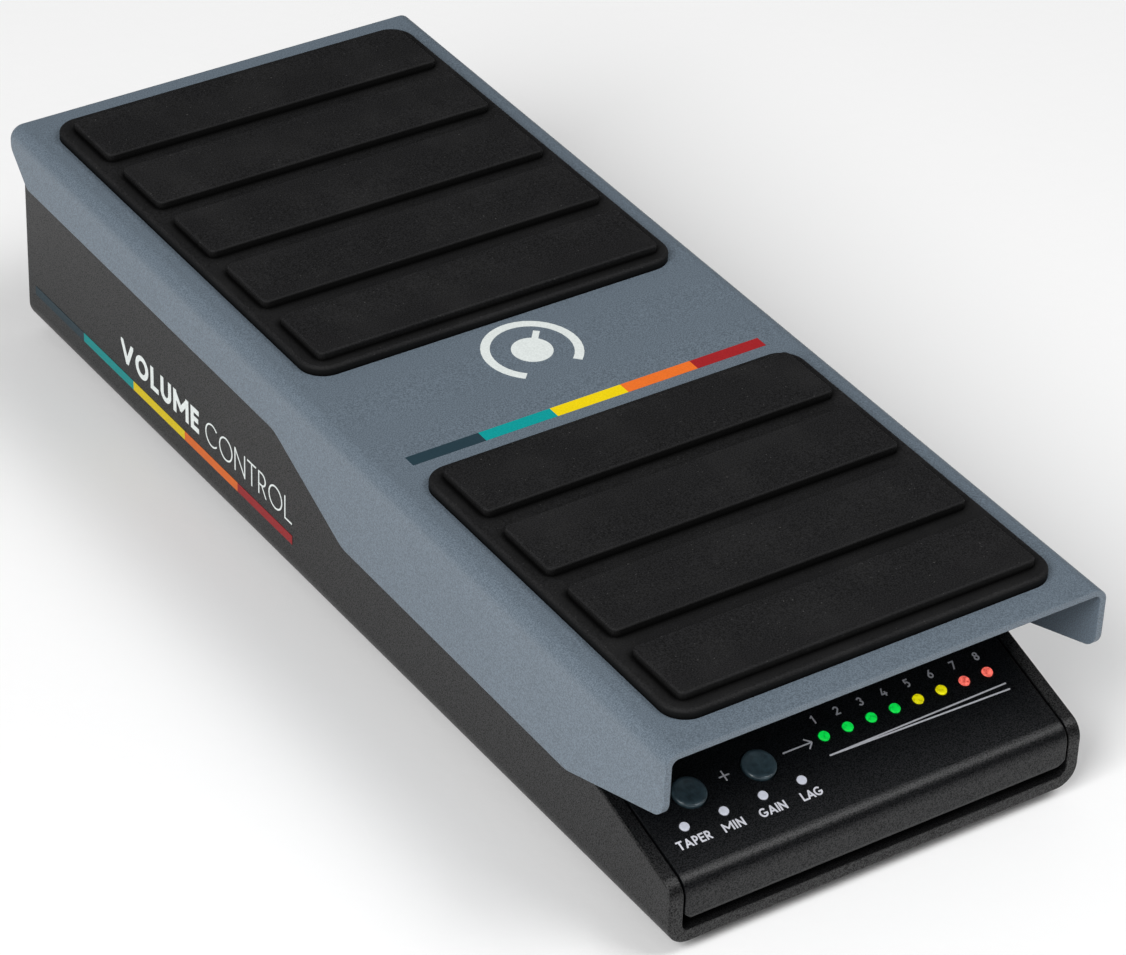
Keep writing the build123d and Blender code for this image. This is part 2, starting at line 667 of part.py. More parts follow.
def make_sector_gear():
    root_r = SECTOR_R - PINION_ADDENDUM - TIP_CLEARANCE
    pitch = 2 * math.pi / SECTOR_TEETH
    first = math.radians(MESH_ANGLE) + (SECTOR_TOOTH_STEPS[0] - 0.5) * pitch
    last = math.radians(MESH_ANGLE) + (SECTOR_TOOTH_STEPS[-1] + 0.5) * pitch
    sweep = math.degrees(last - first)
    with BuildPart() as sector_gear:
        with BuildSketch(yz_plane(SECTOR_X, PIVOT_Y, PIVOT_Z)):
            with BuildLine():
                Line((0, 0), (root_r * math.cos(first), root_r * math.sin(first)))
                CenterArc((0, 0), root_r, math.degrees(first), sweep)
                Line((root_r * math.cos(last), root_r * math.sin(last)), (0, 0))
            make_face()
            Circle(SECTOR_HUB_R)
            for step in SECTOR_TOOTH_STEPS:
                tooth(SECTOR_R, root_r, SECTOR_R + SECTOR_ADDENDUM, MESH[1] + step * pitch)
            middle = (first + last) / 2
            for from_pivot, radius in SECTOR_LIGHTENING:
                with Locations((from_pivot * math.cos(middle), from_pivot * math.sin(middle))):
                    Circle(radius, mode=Mode.SUBTRACT)
            with Locations((0, SECTOR_HUB_TOP)):
                hub_box = (3 * SECTOR_HUB_R, SECTOR_HUB_R)
                Rectangle(*hub_box, align=(Align.CENTER, Align.MIN), mode=Mode.SUBTRACT)
            Circle(AXLE_D / 2 + 0.6, mode=Mode.SUBTRACT)
            with Locations(*SECTOR_SPOTS):
                Circle(M3 / 2, mode=Mode.SUBTRACT)
        extrude(amount=SECTOR_THICKNESS)
    save(sector_gear, "sector_gear")
    with BuildPart() as sector_screws:
        pan_screws(yz_plane(-EAR_OUTER_X, PIVOT_Y, PIVOT_Z), SECTOR_SPOTS, M3, 7.0, (4.5, 1.2))
    save(sector_screws, "sector_screws")


PINION_X = (-35.0, -28.5)


def make_pinion_gear():
    root_r = PINION_R - SECTOR_ADDENDUM - TIP_CLEARANCE
    pitch = 2 * math.pi / PINION_TEETH
    with BuildPart() as pinion_gear:
        with BuildSketch(yz_plane(PINION_X[0], POT_Y, POT_Z)):
            Circle(root_r)
            for step in range(PINION_TEETH):
                direction = MESH[1] + math.pi + (step + 0.5) * pitch
                tooth(PINION_R, root_r, PINION_R + PINION_ADDENDUM, direction)
            Circle(SHAFT_D / 2, mode=Mode.SUBTRACT)
        extrude(amount=PINION_X[1] - PINION_X[0])
    save(pinion_gear, "pinion_gear")


# ---------------------------------------------------------------- potentiometer
POT_BODY_R = 12.0
POT_BODY_LENGTH = 10.0
POT_THREAD_D = 8.0
POT_THREAD_LENGTH = 6.5
POT_PLATE = 2.0
POT_BLOCK_Y = 14.0        # face that the terminals leave
POT_WIRE_X = -14.5
POT_TERMINAL_Z = [POT_Z - 4, POT_Z, POT_Z + 4]


def make_potentiometer():
    back = POT_PLATE_X + POT_PLATE
    with BuildPart() as pot_bracket:
        with BuildSketch(Plane.XZ.offset(-POT_Y)):
            with BuildLine():
                Polyline(
                    (POT_PLATE_X, POT_Z + 12),
                    (POT_PLATE_X, FLOOR_Z),
                    (-2, FLOOR_Z),
                    (-2, FLOOR_Z + POT_PLATE),
                    (back, FLOOR_Z + POT_PLATE),
                    (back, POT_Z + 12),
                    close=True,
                )
            make_face()
        extrude(amount=12, both=True)
        with BuildSketch(yz_plane(POT_PLATE_X, POT_Y, POT_Z)):
            Circle(POT_THREAD_D / 2)
        extrude(amount=POT_PLATE, mode=Mode.SUBTRACT)
        with BuildSketch(Plane.XY.offset(FLOOR_Z)):
            with Locations(*POT_BRACKET_SPOTS):
                Circle(M3 / 2)
        extrude(amount=POT_PLATE, mode=Mode.SUBTRACT)
    save(pot_bracket, "pot_bracket")
    with BuildPart() as pot_bracket_nuts:
        nuts(Plane.XY.offset(FLOOR_Z + POT_PLATE), POT_BRACKET_SPOTS, (5.5, 2.4), M3)
    save(pot_bracket_nuts, "pot_bracket_nuts")
    with BuildPart() as pot_body:
        with BuildSketch(yz_plane(back, POT_Y, POT_Z)):
            Circle(POT_BODY_R)
        extrude(amount=POT_BODY_LENGTH)
        fillet(edges().filter_by(GeomType.CIRCLE).sort_by(Axis.X)[-1], 1.0)
        with BuildSketch(yz_plane(POT_WIRE_X - 1.5, POT_Y, POT_Z)):
            Rectangle(POT_BLOCK_Y, 12, align=(Align.MIN, Align.CENTER))
        extrude(amount=3)
        with BuildSketch(yz_plane(back, POT_Y, POT_Z)):
            Circle(POT_THREAD_D / 2)
        extrude(amount=-POT_THREAD_LENGTH)
        with BuildSketch(yz_plane(back - POT_THREAD_LENGTH, POT_Y, POT_Z)):
            Circle(SHAFT_D / 2 + RUNNING_GAP)
        extrude(amount=POT_THREAD_LENGTH + POT_BODY_LENGTH - 2, mode=Mode.SUBTRACT)
    save(pot_body, "pot_body")
    with BuildPart() as pot_nut:
        with BuildSketch(yz_plane(POT_PLATE_X, POT_Y, POT_Z)):
            RegularPolygon(5.5, 6, major_radius=False)
            Circle(POT_THREAD_D / 2, mode=Mode.SUBTRACT)
        extrude(amount=-2.2)
    save(pot_nut, "pot_nut")
    with BuildPart() as pot_terminals:
        for z in POT_TERMINAL_Z:
            with BuildSketch(yz_plane(POT_WIRE_X - 0.4)):
                with Locations((POT_Y + POT_BLOCK_Y, z)):
                    Rectangle(3.5, 2.2, align=(Align.MIN, Align.CENTER))
            extrude(amount=0.8)
    save(pot_terminals, "pot_terminals")
    with BuildPart() as pot_shaft:
        with BuildSketch(yz_plane(PINION_X[0] - 0.5, POT_Y, POT_Z)):
            Circle(SHAFT_D / 2)
        extrude(amount=back + POT_BODY_LENGTH - 2.5 - PINION_X[0] + 0.5)
        chamfer(faces().sort_by(Axis.X)[0].edges(), 0.5)
    save(pot_shaft, "pot_shaft")


WIRE_D = 1.3


def make_pot_leads():
    start_y = POT_Y + POT_BLOCK_Y + 3.5
    with BuildPart() as pot_leads:
        for i, z in enumerate(POT_TERMINAL_Z):
            down_y = 55.0 + 2.5 * i
            with BuildLine():
                route = FilletPolyline(
                    (POT_WIRE_X, start_y, z),
                    (POT_WIRE_X, down_y, z),
                    (POT_WIRE_X, down_y, MAIN_BOARD_Z + BOARD),
                    radius=2.5,
                )
            with BuildSketch(Plane(origin=route @ 0, z_dir=route % 0)):
                Circle(WIRE_D / 2)
            sweep(path=route)
    save(pot_leads, "pot_leads")


# ---------------------------------------------------------------- control board
PANEL_BOARD = (93.0, 7.5, 28.5)        # width, lower and upper edge up the slope
PANEL_STANDOFFS = [(-44.0, 25.5), (44.0, 25.5), (44.0, 10.5), (-5.0, 10.5)]
LEVEL_LAMP = (1.22, 1.9, 0.3)          # body radius, flange radius, height over the panel
MODE_LAMP = (1.08, 1.6, 0.2)
LAMP_FLANGE = 1.0
SWITCH_SIZE = 6.2
SWITCH_HEIGHT = 3.6
STEM_D = 3.4


def led_group(name, xs, s, lamp):
    """Round lamps standing on the control board, their tops just through the panel."""
    body_r, flange_r, top = lamp
    with BuildPart() as leds:
        board_top = PANEL.offset(-PANEL_BOARD_DEPTH)
        with BuildSketch(board_top):
            with Locations(*[(x, s) for x in xs]):
                Circle(flange_r)
        extrude(amount=LAMP_FLANGE)
        with BuildSketch(board_top):
            with Locations(*[(x, s) for x in xs]):
                Circle(body_r)
        extrude(amount=PANEL_BOARD_DEPTH + top)
        rims = [
            edge
            for edge in edges().filter_by(GeomType.CIRCLE)
            if abs(PANEL.to_local_coords(edge.arc_center).Z - top) < 0.01
        ]
        fillet(rims, top * 0.9)
    save(leds, name)


def make_control_board():
    width, lower, upper = PANEL_BOARD
    with BuildPart() as control_board:
        with BuildSketch(PANEL.offset(-PANEL_BOARD_DEPTH)):
            with Locations((0, (lower + upper) / 2)):
                Rectangle(width, upper - lower)
            with Locations(*PANEL_STANDOFFS):
                Circle(M3 / 2, mode=Mode.SUBTRACT)
        extrude(amount=-BOARD)
    save(control_board, "control_board")
    with BuildPart() as panel_standoffs:
        outline = hexagons(PANEL.offset(-PANEL_BOARD_DEPTH), PANEL_STANDOFFS, 5.0, M3 / 2)
        extrude(outline, amount=PANEL_BOARD_DEPTH - SHEET)
    save(panel_standoffs, "panel_standoffs")
    with BuildPart() as control_board_screws:
        below = PANEL.offset(-PANEL_BOARD_DEPTH - BOARD)
        pan_screws(below, PANEL_STANDOFFS, M3, BOARD + 5, (5.0, 1.2))
    save(control_board_screws, "control_board_screws")


def make_lamps():
    led_group("leds_green", LEVEL_LED_X[:4], LEVEL_LED_S, LEVEL_LAMP)
    led_group("leds_yellow", LEVEL_LED_X[4:6], LEVEL_LED_S, LEVEL_LAMP)
    led_group("leds_red", LEVEL_LED_X[6:], LEVEL_LED_S, LEVEL_LAMP)
    led_group("mode_leds", MODE_LED_X, MODE_LED_S, MODE_LAMP)


def make_switches():
    board_top = PANEL.offset(-PANEL_BOARD_DEPTH)
    with BuildPart() as tact_switches:
        with BuildSketch(board_top):
            with Locations(*[(x, BUTTON_S) for x in BUTTON_X]):
                Rectangle(SWITCH_SIZE, SWITCH_SIZE)
        extrude(amount=SWITCH_HEIGHT)
        with BuildSketch(board_top.offset(SWITCH_HEIGHT)):
            with Locations(*[(x, BUTTON_S) for x in BUTTON_X]):
                Circle(STEM_D / 2 + 0.3)
        extrude(amount=-2.0, mode=Mode.SUBTRACT)
    save(tact_switches, "tact_switches")


def make_button(name, x):
    """Dished cap, retaining flange under the panel and the stem into the switch."""
    axis_plane = Plane(
        origin=PANEL.from_local_coords(Vector(x, BUTTON_S, 0)),
        x_dir=PANEL.x_dir,
        z_dir=-PANEL.y_dir,
    )
    cap_r = BUTTON_D / 2
    flange_r = cap_r + 1.3
    flange_top = -SHEET - 0.3
    flange_bottom = flange_top - 1.0
    stem_end = flange_top - 2.9
    dish_r = (BUTTON_DISH_R**2 + BUTTON_DISH**2) / (2 * BUTTON_DISH)
    dish_centre = PANEL.from_local_coords(Vector(x, BUTTON_S, BUTTON_PROUD - BUTTON_DISH + dish_r))
    with BuildPart() as button:
        with BuildSketch(axis_plane):
            with BuildLine():
                Polyline(
                    (0, BUTTON_PROUD),
                    (0, stem_end),
                    (STEM_D / 2, stem_end),
                    (STEM_D / 2, flange_bottom),
                    (flange_r, flange_bottom),
                    (flange_r, flange_top),
                    (cap_r, flange_top),
                    (cap_r, BUTTON_PROUD),
                    close=True,
                )
            make_face()
        revolve(axis=Axis(axis_plane.origin, PANEL.z_dir))
        fillet(faces_at(PANEL, BUTTON_PROUD).edges(), 0.5)
        with Locations(dish_centre):
            Sphere(dish_r, mode=Mode.SUBTRACT)
    save(button, name)


# ---------------------------------------------------------------- main board and sockets
MAIN_BOARD = (88.0, 50.0, 126.0)
CHIPS = [(-24, 72, 12, 8), (0, 72, 8, 8), (22, 74, 10, 16), (2, 90, 6, 10)]
CAPACITORS = [(-34, 72), (-34, 84), (-22, 88), (36, 108)]


def make_main_board():
    width, near, far = MAIN_BOARD
    top_z = MAIN_BOARD_Z + BOARD
    with BuildPart() as main_board:
        with BuildSketch(Plane.XY.offset(MAIN_BOARD_Z)):
            with Locations((0, (near + far) / 2)):
                Rectangle(width, far - near)
            with Locations(*BOARD_SPOTS):
                Circle(M3 / 2, mode=Mode.SUBTRACT)
        extrude(amount=BOARD)
    save(main_board, "main_board")
    with BuildPart() as board_standoffs:
        outline = hexagons(Plane.XY.offset(FLOOR_Z), BOARD_SPOTS, 6.0, M3 / 2)
        extrude(outline, amount=MAIN_BOARD_Z - FLOOR_Z)
    save(board_standoffs, "board_standoffs")
    with BuildPart() as board_chips:
        for x, y, across, along in CHIPS:
            with BuildSketch(Plane.XY.offset(top_z)):
                with Locations((x, y)):
                    Rectangle(across, along)
            extrude(amount=2.4)
    save(board_chips, "board_chips")
    with BuildPart() as board_capacitors:
        with BuildSketch(Plane.XY.offset(top_z)):
            with Locations(*CAPACITORS):
                Circle(3.15)
        extrude(amount=8.5)
    save(board_capacitors, "board_capacitors")


RIBBON_X = 13.5
RIBBON_WIDTH = 12.7
RIBBON_SHEET = 1.0
SOCKET = (16.0, 7.0, 5.0)
PANEL_SOCKET_S = 20.0
MAIN_SOCKET_Y = 55.0


def make_ribbon():
    width, length, height = SOCKET
    top_z = MAIN_BOARD_Z + BOARD
    with BuildPart() as ribbon_sockets:
        with BuildSketch(PANEL.offset(-PANEL_BOARD_DEPTH - BOARD)):
            with Locations((RIBBON_X, PANEL_SOCKET_S)):
                Rectangle(width, length)
        extrude(amount=-height)
        with BuildSketch(Plane.XY.offset(top_z)):
            with Locations((RIBBON_X, MAIN_SOCKET_Y)):
                Rectangle(width, length)
        extrude(amount=height)
    save(ribbon_sockets, "ribbon_sockets")
    exit_point = PANEL.from_local_coords(
        Vector(0, PANEL_SOCKET_S + length / 2, -PANEL_BOARD_DEPTH - BOARD - height / 2)
    )
    with BuildPart() as ribbon_cable:
        with BuildSketch(Plane.YZ.offset(RIBBON_X)):
            with BuildLine():
                FilletPolyline(
                    (exit_point.Y + 0.4, exit_point.Z),
                    (exit_point.Y + 8, exit_point.Z + 1.2),
                    (exit_point.Y + 16, FLOOR_Z + STAND_SHEET + 1.5),
                    (MAIN_SOCKET_Y - 13, FLOOR_Z + STAND_SHEET + 1.5),
                    (MAIN_SOCKET_Y - 10, top_z + height / 2),
                    (MAIN_SOCKET_Y - length / 2, top_z + height / 2),
                    radius=2.0,
                )
                offset(amount=RIBBON_SHEET, side=Side.LEFT)
            make_face()
        extrude(amount=RIBBON_WIDTH / 2, both=True)
    save(ribbon_cable, "ribbon_cable")


def make_jack(name, x):
    """Quarter-inch socket: a plastic body with a threaded nose through the rear face."""
    across, along, tall = JACK_BODY
    face_y = COVER_REAR_Y - SHEET
    with BuildPart() as jack:
        with BuildSketch(Plane.XZ.offset(-face_y)):
            with Locations((x, JACK_Z)):
                RectangleRounded(across, tall, 1.0)
        extrude(amount=along)
        with BuildSketch(Plane.XZ.offset(-face_y)):
            with Locations((x, JACK_Z)):
                Circle(JACK_THREAD_D / 2)
        extrude(amount=-JACK_NOSE)
        with BuildSketch(Plane.XZ.offset(-face_y - JACK_NOSE)):
            with Locations((x, JACK_Z)):
                Circle(JACK_BORE_R)
        extrude(amount=JACK_NOSE + along - 1.5, mode=Mode.SUBTRACT)
    save(jack, name)


def make_jack_fixings():
    spots = [(x, -JACK_Z) for x in JACK_X]
    rear = Plane(origin=(0, COVER_REAR_Y, 0), x_dir=(1, 0, 0), z_dir=(0, 1, 0))
    with BuildPart() as jack_washers:
        with BuildSketch(rear):
            with Locations(*spots):
                Circle(8.2)
                Circle(JACK_THREAD_D / 2, mode=Mode.SUBTRACT)
        extrude(amount=JACK_WASHER)
    save(jack_washers, "jack_washers")
    with BuildPart() as jack_nuts:
        nuts(rear.offset(JACK_WASHER), spots, (14.0, 2.4), JACK_THREAD_D)
    save(jack_nuts, "jack_nuts")


def make_dc_inlet():
    face_y = COVER_REAR_Y - SHEET
    board_top = MAIN_BOARD_Z + BOARD
    tall = 2 * (DC_Z - board_top)
    with BuildPart() as dc_inlet:
        with BuildSketch(Plane.XZ.offset(-face_y)):
            with Locations((DC_X, DC_Z)):
                Rectangle(11.0, tall)
        extrude(amount=14.0)
        with BuildSketch(Plane.XZ.offset(-face_y)):
            with Locations((DC_X, DC_Z)):
                Circle(2.85)
        extrude(amount=10.0, mode=Mode.SUBTRACT)
    save(dc_inlet, "dc_inlet")
    with BuildPart() as dc_pin:
        with BuildSketch(Plane.XZ.offset(-face_y + 1.0)):
            with Locations((DC_X, DC_Z)):
                Circle(1.05)
        extrude(amount=9.0)
        fillet(faces().sort_by(Axis.Y)[-1].edges(), 0.4)
    save(dc_pin, "dc_pin")


def main():
    os.makedirs("parts", exist_ok=True)
    make_base_channel()
    make_rubber_feet()
    make_floor_screws()
    make_cover()
    make_cover_fixings()
    make_stops()
    make_pivot_stand()
    make_axle()
    make_treadle_plate()
    make_treadle_bracket()
    make_treadle_fixings()
    make_tread_pad("toe_pad", *TOE_PAD)
    make_tread_pad("heel_pad", *HEEL_PAD)
    make_sector_gear()
    make_pinion_gear()
    make_potentiometer()
    make_pot_leads()
    make_control_board()
    make_lamps()
    make_switches()
    make_button("button_left", BUTTON_X[0])
    make_button("button_right", BUTTON_X[1])
    make_main_board()
    make_ribbon()
    for name, x in zip(("input_jack", "output_jack", "tuner_jack"), JACK_X):
        make_jack(name, x)
    make_jack_fixings()
    make_dc_inlet()


main()
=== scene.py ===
"""Looks of the volume pedal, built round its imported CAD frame. Metres; +Y from heel to toe."""

import json
import math

import bmesh
import bpy
from mathutils import Matrix, Vector


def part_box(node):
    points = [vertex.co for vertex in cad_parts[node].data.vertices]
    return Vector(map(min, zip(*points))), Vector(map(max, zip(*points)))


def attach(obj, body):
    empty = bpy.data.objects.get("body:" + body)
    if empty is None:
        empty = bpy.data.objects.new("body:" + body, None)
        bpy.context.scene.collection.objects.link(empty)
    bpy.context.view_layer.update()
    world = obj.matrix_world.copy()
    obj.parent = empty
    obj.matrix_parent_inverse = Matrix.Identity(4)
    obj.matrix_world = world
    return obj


MM = 0.001

# ---------------------------------------------------------------- camera and lights
CAMERA_AT = Vector((-0.46996, -0.69744, 0.60039))
CAMERA_AIM = Vector((-0.01735, -0.04225, 0.05000))
CAMERA_ROLL = math.radians(2.206)
CAMERA_LENS = 145.83
SENSOR_WIDTH = 36.0

FLOOR_HALF_SIDE = 6.0
# name: place, side, power in watts; each one is aimed at the pedal
SOFTBOXES = {
    "overhead_softbox": ((1.05, -1.05, 2.14), 1.2, 27.0),
    "left_softbox": ((-1.90, -0.90, 1.60), 1.4, 57.0),
}
ROOM_SHEEN = 0.03        # the room as glossy paint mirrors it
ROOM_LIGHT = 0.28        # the room as it lights dull surfaces
BACKDROP = 0.97          # and what the camera sees over the floor's edge

# ---------------------------------------------------------------- places on the frame
TREAD_TOP = 4.36 * MM           # of the ribs over the treadle plate
PANEL_EDGE_HEIGHT = 17.9 * MM   # corner between the front face and the sloping panel
INK_HEIGHT = 0.05 * MM          # print stands this proud of the paint
INK_STEP = 0.008 * MM           # from one stroke to the next, so that crossings share no face
INK_LEVELS = 4                  # heights that the strokes take in turn
INK_DEPTH = 0.05 * MM           # print reaches this far into the paint

# ---------------------------------------------------------------- print, in millimetres
STRIPE_COLOURS = ("slate", "teal", "yellow", "orange", "red")
TREADLE_STRIPE = (-45.7, 45.7, -27.6, -24.3)      # left, right, near and far edge
WALL_STRIPE = (11.5, 131.6, 12.3, 14.66)          # heel end, toe end, bottom and top
WALL_STRIPE_SHADE = 0.72          # its brightness, the inks being thin over the dark paint
WALL_TEXT_BASELINE = 17.6
WALL_TEXT_CAP = 6.2
WALL_WORDS = (("VOLUME", 1.35, 36.3), ("CONTROL", 0.42, 38.3))   # word, stroke, width
WALL_WORD_GAP = 3.0
WALL_TEXT_START = 89.2            # toe end of the lettering on the left wall
DIAL_MARK_AT = Vector((0.0, -3.4))
DIAL_MARK_ARC = (10.4, 2.1)       # radius of the range arc and its stroke
DIAL_MARK_SWEEP = (-50, 230)      # its ends, in degrees
DIAL_MARK_KNOB_R = 4.7
DIAL_MARK_POINTER = (4.0, 7.6, 1.5)     # from, to, stroke
DIAL_MARK_ANGLE = math.radians(50)
SOCKET_LABELS = {"input_jack": "IN", "output_jack": "OUT", "tuner_jack": "TUNER", "dc_inlet": "DC"}
SOCKET_LABEL_Z = 38.6
SOCKET_LABEL_CAP = 2.6
SOCKET_LABEL_WEIGHT = 0.42
SOCKET_LETTER_GAP = 0.7
LEVEL_LEDS = (-1.2, 6.07, 8)      # first x, pitch, count
LEVEL_DIGIT_S = 23.5              # S is the distance up the panel from its lower edge
LEVEL_DIGIT_CAP = 2.1
LEVEL_DIGIT_WEIGHT = 0.33
SIGN_WEIGHT = 0.32
PLUS_AT = (-26.5, 20.0)           # x and S of its middle
PLUS_ARM = 1.3
ARROW_TAIL = (-11.9, 19.8)        # x and S, as in the three places below
ARROW_TIP = (-4.5, 19.8)
ARROW_BARB = (1.4, 1.3)           # back from the tip and to each side
WEDGE_WEIGHT = 0.36
WEDGE_POINT = (-2.9, 15.4)
WEDGE_ENDS = ((43.3, 16.0), (43.3, 14.4))         # of its two lines
MODE_LEDS = (-41.0, 9.71)         # first x and pitch
MODE_LABELS = (("TAPER", 8.15), ("MIN", 5.2), ("GAIN", 6.6), ("LAG", 5.1))
MODE_LABEL_S = 7.8
MODE_LABEL_CAP = 2.15
MODE_LABEL_WEIGHT = 0.39


def linear(red, green, blue):
    """An 8-bit screen colour as the linear RGBA that a shader takes."""
    shares = (value / 255 for value in (red, green, blue))
    return (*((v / 12.92 if v <= 0.04045 else ((v + 0.055) / 1.055) ** 2.4) for v in shares), 1.0)


def scaled(colour, factor):
    """The same colour, this many times as bright."""
    return (*(min(1.0, channel * factor) for channel in colour[:3]), 1.0)


# ---------------------------------------------------------------- node materials
def add_node(tree, kind, inputs, **settings):
    """A new node, each of its inputs linked to an output or set to a value."""
    made = tree.nodes.new(kind)
    for name, value in settings.items():
        setattr(made, name, value)
    for key, value in inputs.items():
        if isinstance(value, bpy.types.NodeSocket):
            tree.links.new(value, made.inputs[key])
        else:
            made.inputs[key].default_value = value
    return made


class Look:
    """One node material in the making. Sizes are in metres, in the object's own frame."""

    def __init__(self, name, **sockets):
        self.material = bpy.data.materials.new(name)
        self.material.use_nodes = True
        self.tree = self.material.node_tree
        self.shader = self.tree.nodes["Principled BSDF"]
        for socket, value in sockets.items():
            self.shader.inputs[socket.replace("_", " ")].default_value = value
        self.place = self.tree.nodes.new("ShaderNodeTexCoord").outputs["Object"]

    def node(self, kind, inputs, **settings):
        return add_node(self.tree, kind, inputs, **settings)

    def noise(self, size, detail=2.0):
        """Cloudy pattern from 0 to 1 whose patches are about this big."""
        inputs = {"Vector": self.place, "Scale": 1 / size, "Detail": detail, "Roughness": 0.55}
        return self.node("ShaderNodeTexNoise", inputs).outputs["Fac"]

    def remap(self, value, low, high, to_low=0.0, to_high=1.0):
        """The stretch of a value between low and high, spread over to_low to to_high."""
        inputs = {"Value": value, "From Min": low, "From Max": high, "To Min": to_low, "To Max": to_high}
        return self.node("ShaderNodeMapRange", inputs).outputs["Result"]

    def times(self, first, second):
        return self.node("ShaderNodeMath", {0: first, 1: second}, operation="MULTIPLY").outputs[0]

    def plus(self, first, second):
        return self.node("ShaderNodeMath", {0: first, 1: second}, operation="ADD").outputs[0]

    def mix(self, factor, first, second):
        """Colour between first, at 0, and second, at 1."""
        inputs = {0: factor, 6: first, 7: second}       # the mix node's own colour sockets
        return self.node("ShaderNodeMix", inputs, data_type="RGBA").outputs[2]

    def rounded_normal(self, radius):
        """The surface's normal, turned near edges as if they had this radius."""
        return self.node("ShaderNodeBevel", {"Radius": radius}, samples=6).outputs["Normal"]

    def edges(self, radius):
        """1 along the piece's edges, 0 on its flats."""
        flat = self.node("ShaderNodeNewGeometry", {}).outputs["Normal"]
        inputs = {0: self.rounded_normal(radius), 1: flat}
        likeness = self.node("ShaderNodeVectorMath", inputs, operation="DOT_PRODUCT").outputs["Value"]
        return self.remap(likeness, 0.995, 0.80)

    def openness(self, reach, closed=0.35, clear=0.92):
        """1 on open surfaces, down to 0 deep in corners and gaps narrower than the reach."""
        occlusion = self.node("ShaderNodeAmbientOcclusion", {"Distance": reach}, samples=8)
        return self.remap(occlusion.outputs["AO"], closed, clear)

    def paint(self, colour):
        self.tree.links.new(colour, self.shader.inputs["Base Color"])

    def glow(self, colour):
        self.tree.links.new(colour, self.shader.inputs["Emission Color"])

    def rough(self, value, low, high):
        """Roughness from low to high as the value goes from 0.3 to 0.7."""
        self.tree.links.new(self.remap(value, 0.3, 0.7, low, high), self.shader.inputs["Roughness"])

    def glint(self, value, low, high):
        """Reflectance from low to high as the value goes from 0.35 to 0.65."""
        level = self.shader.inputs["Specular IOR Level"]
        level.default_value = (low + high) / 2
        self.tree.links.new(self.remap(value, 0.35, 0.65, low, high), level)

    def bump(self, height, depth, edge_radius=0.0):
        """Relief of this depth, over edges that look rounded where a radius is given."""
        inputs = {"Height": height, "Distance": depth, "Strength": 1.0}
        if edge_radius:
            inputs["Normal"] = self.rounded_normal(edge_radius)
        normal = self.node("ShaderNodeBump", inputs).outputs["Normal"]
        self.tree.links.new(normal, self.shader.inputs["Normal"])


def powder_coat(name, colour, roughness, speckle, relief, glints):
    """Baked powder paint: fine sandy grain, a faint cloudiness, thinner and shinier on edges."""
    look = Look(name)
    grain = look.noise(0.28 * MM, detail=1.0)
    clouds = look.noise(28 * MM)
    fine = look.mix(
        look.remap(grain, 0.35, 0.65), scaled(colour, 1 - speckle), scaled(colour, 1 + speckle)
    )
    cloudy = look.mix(look.remap(clouds, 0.3, 0.7, 0.0, 0.10), fine, scaled(colour, 0.75))
    edges = look.times(look.edges(0.5 * MM), look.remap(look.noise(3 * MM), 0.35, 0.65, 0.3, 1.0))
    look.paint(look.mix(look.times(edges, 0.10), cloudy, scaled(colour, 2.2)))
    look.rough(look.plus(grain, look.times(edges, -0.3)), roughness - 0.06, roughness + 0.06)
    look.glint(grain, *glints)
    look.bump(grain, relief, edge_radius=0.4 * MM)
    return look.material


def blue_grey_powder_coat():
    colour = linear(98, 110, 121)
    return powder_coat("blue_grey_powder_coat", colour, 0.50, 0.27, 0.03 * MM, (0.4, 0.6))


def charcoal_powder_coat():
    colour = linear(13, 13, 14)
    return powder_coat("charcoal_powder_coat", colour, 0.42, 0.62, 0.045 * MM, (0.10, 0.64))


def black_powder_coat():
    colour = linear(12, 13, 15)
    return powder_coat("black_powder_coat", colour, 0.35, 0.42, 0.03 * MM, (0.12, 0.46))


def tread_rubber():
    """Matt moulded rubber: fine grain, specks of dust, rib edges lighter from wear and a painted highlight,
    painted shade between the ribs and in their corners.
    """
    look = Look("tread_rubber")
    grain = look.noise(0.3 * MM, detail=1.0)
    handled = look.remap(look.noise(14 * MM, detail=4.0), 0.45, 0.75, 0.0, 0.06)
    specks = look.times(look.remap(look.noise(0.6 * MM), 0.72, 0.76), 0.7)
    black = linear(25, 25, 26)
    fine = look.mix(look.remap(grain, 0.35, 0.65), scaled(black, 0.5), scaled(black, 1.6))
    dusty = look.mix(look.plus(handled, specks), fine, linear(84, 83, 82))
    clear = look.openness(2.5 * MM)
    # rib edges lighter: partly wear and partly a painted highlight, kept off the hollow corners
    rubbed = look.times(look.times(look.edges(0.35 * MM), clear), 0.4)
    worn_and_highlit = look.mix(rubbed, dusty, linear(96, 96, 98))
    # painted shade: darker deep between the ribs, where the ribs hide the room
    shaded_between_ribs = look.mix(look.openness(7 * MM, closed=0.6, clear=0.96), linear(8, 8, 8), worn_and_highlit)
    # painted shade: near black in the corners at the foot of the ribs and the pad
    look.paint(look.mix(clear, linear(5, 5, 5), shaded_between_ribs))
    look.rough(look.plus(grain, handled), 0.62, 0.80)
    look.glint(clear, 0.02, 0.2)
    look.bump(grain, 0.04 * MM, edge_radius=0.2 * MM)
    return look.material


def foot_rubber():
    look = Look("foot_rubber", Specular_IOR_Level=0.4)
    grain = look.noise(0.8 * MM, detail=4.0)
    grime = look.remap(look.noise(6 * MM), 0.45, 0.75, 0.0, 0.5)
    look.paint(look.mix(grime, linear(30, 30, 31), linear(84, 80, 74)))
    look.rough(grain, 0.6, 0.85)
    look.bump(grain, 0.08 * MM, edge_radius=0.3 * MM)
    return look.material


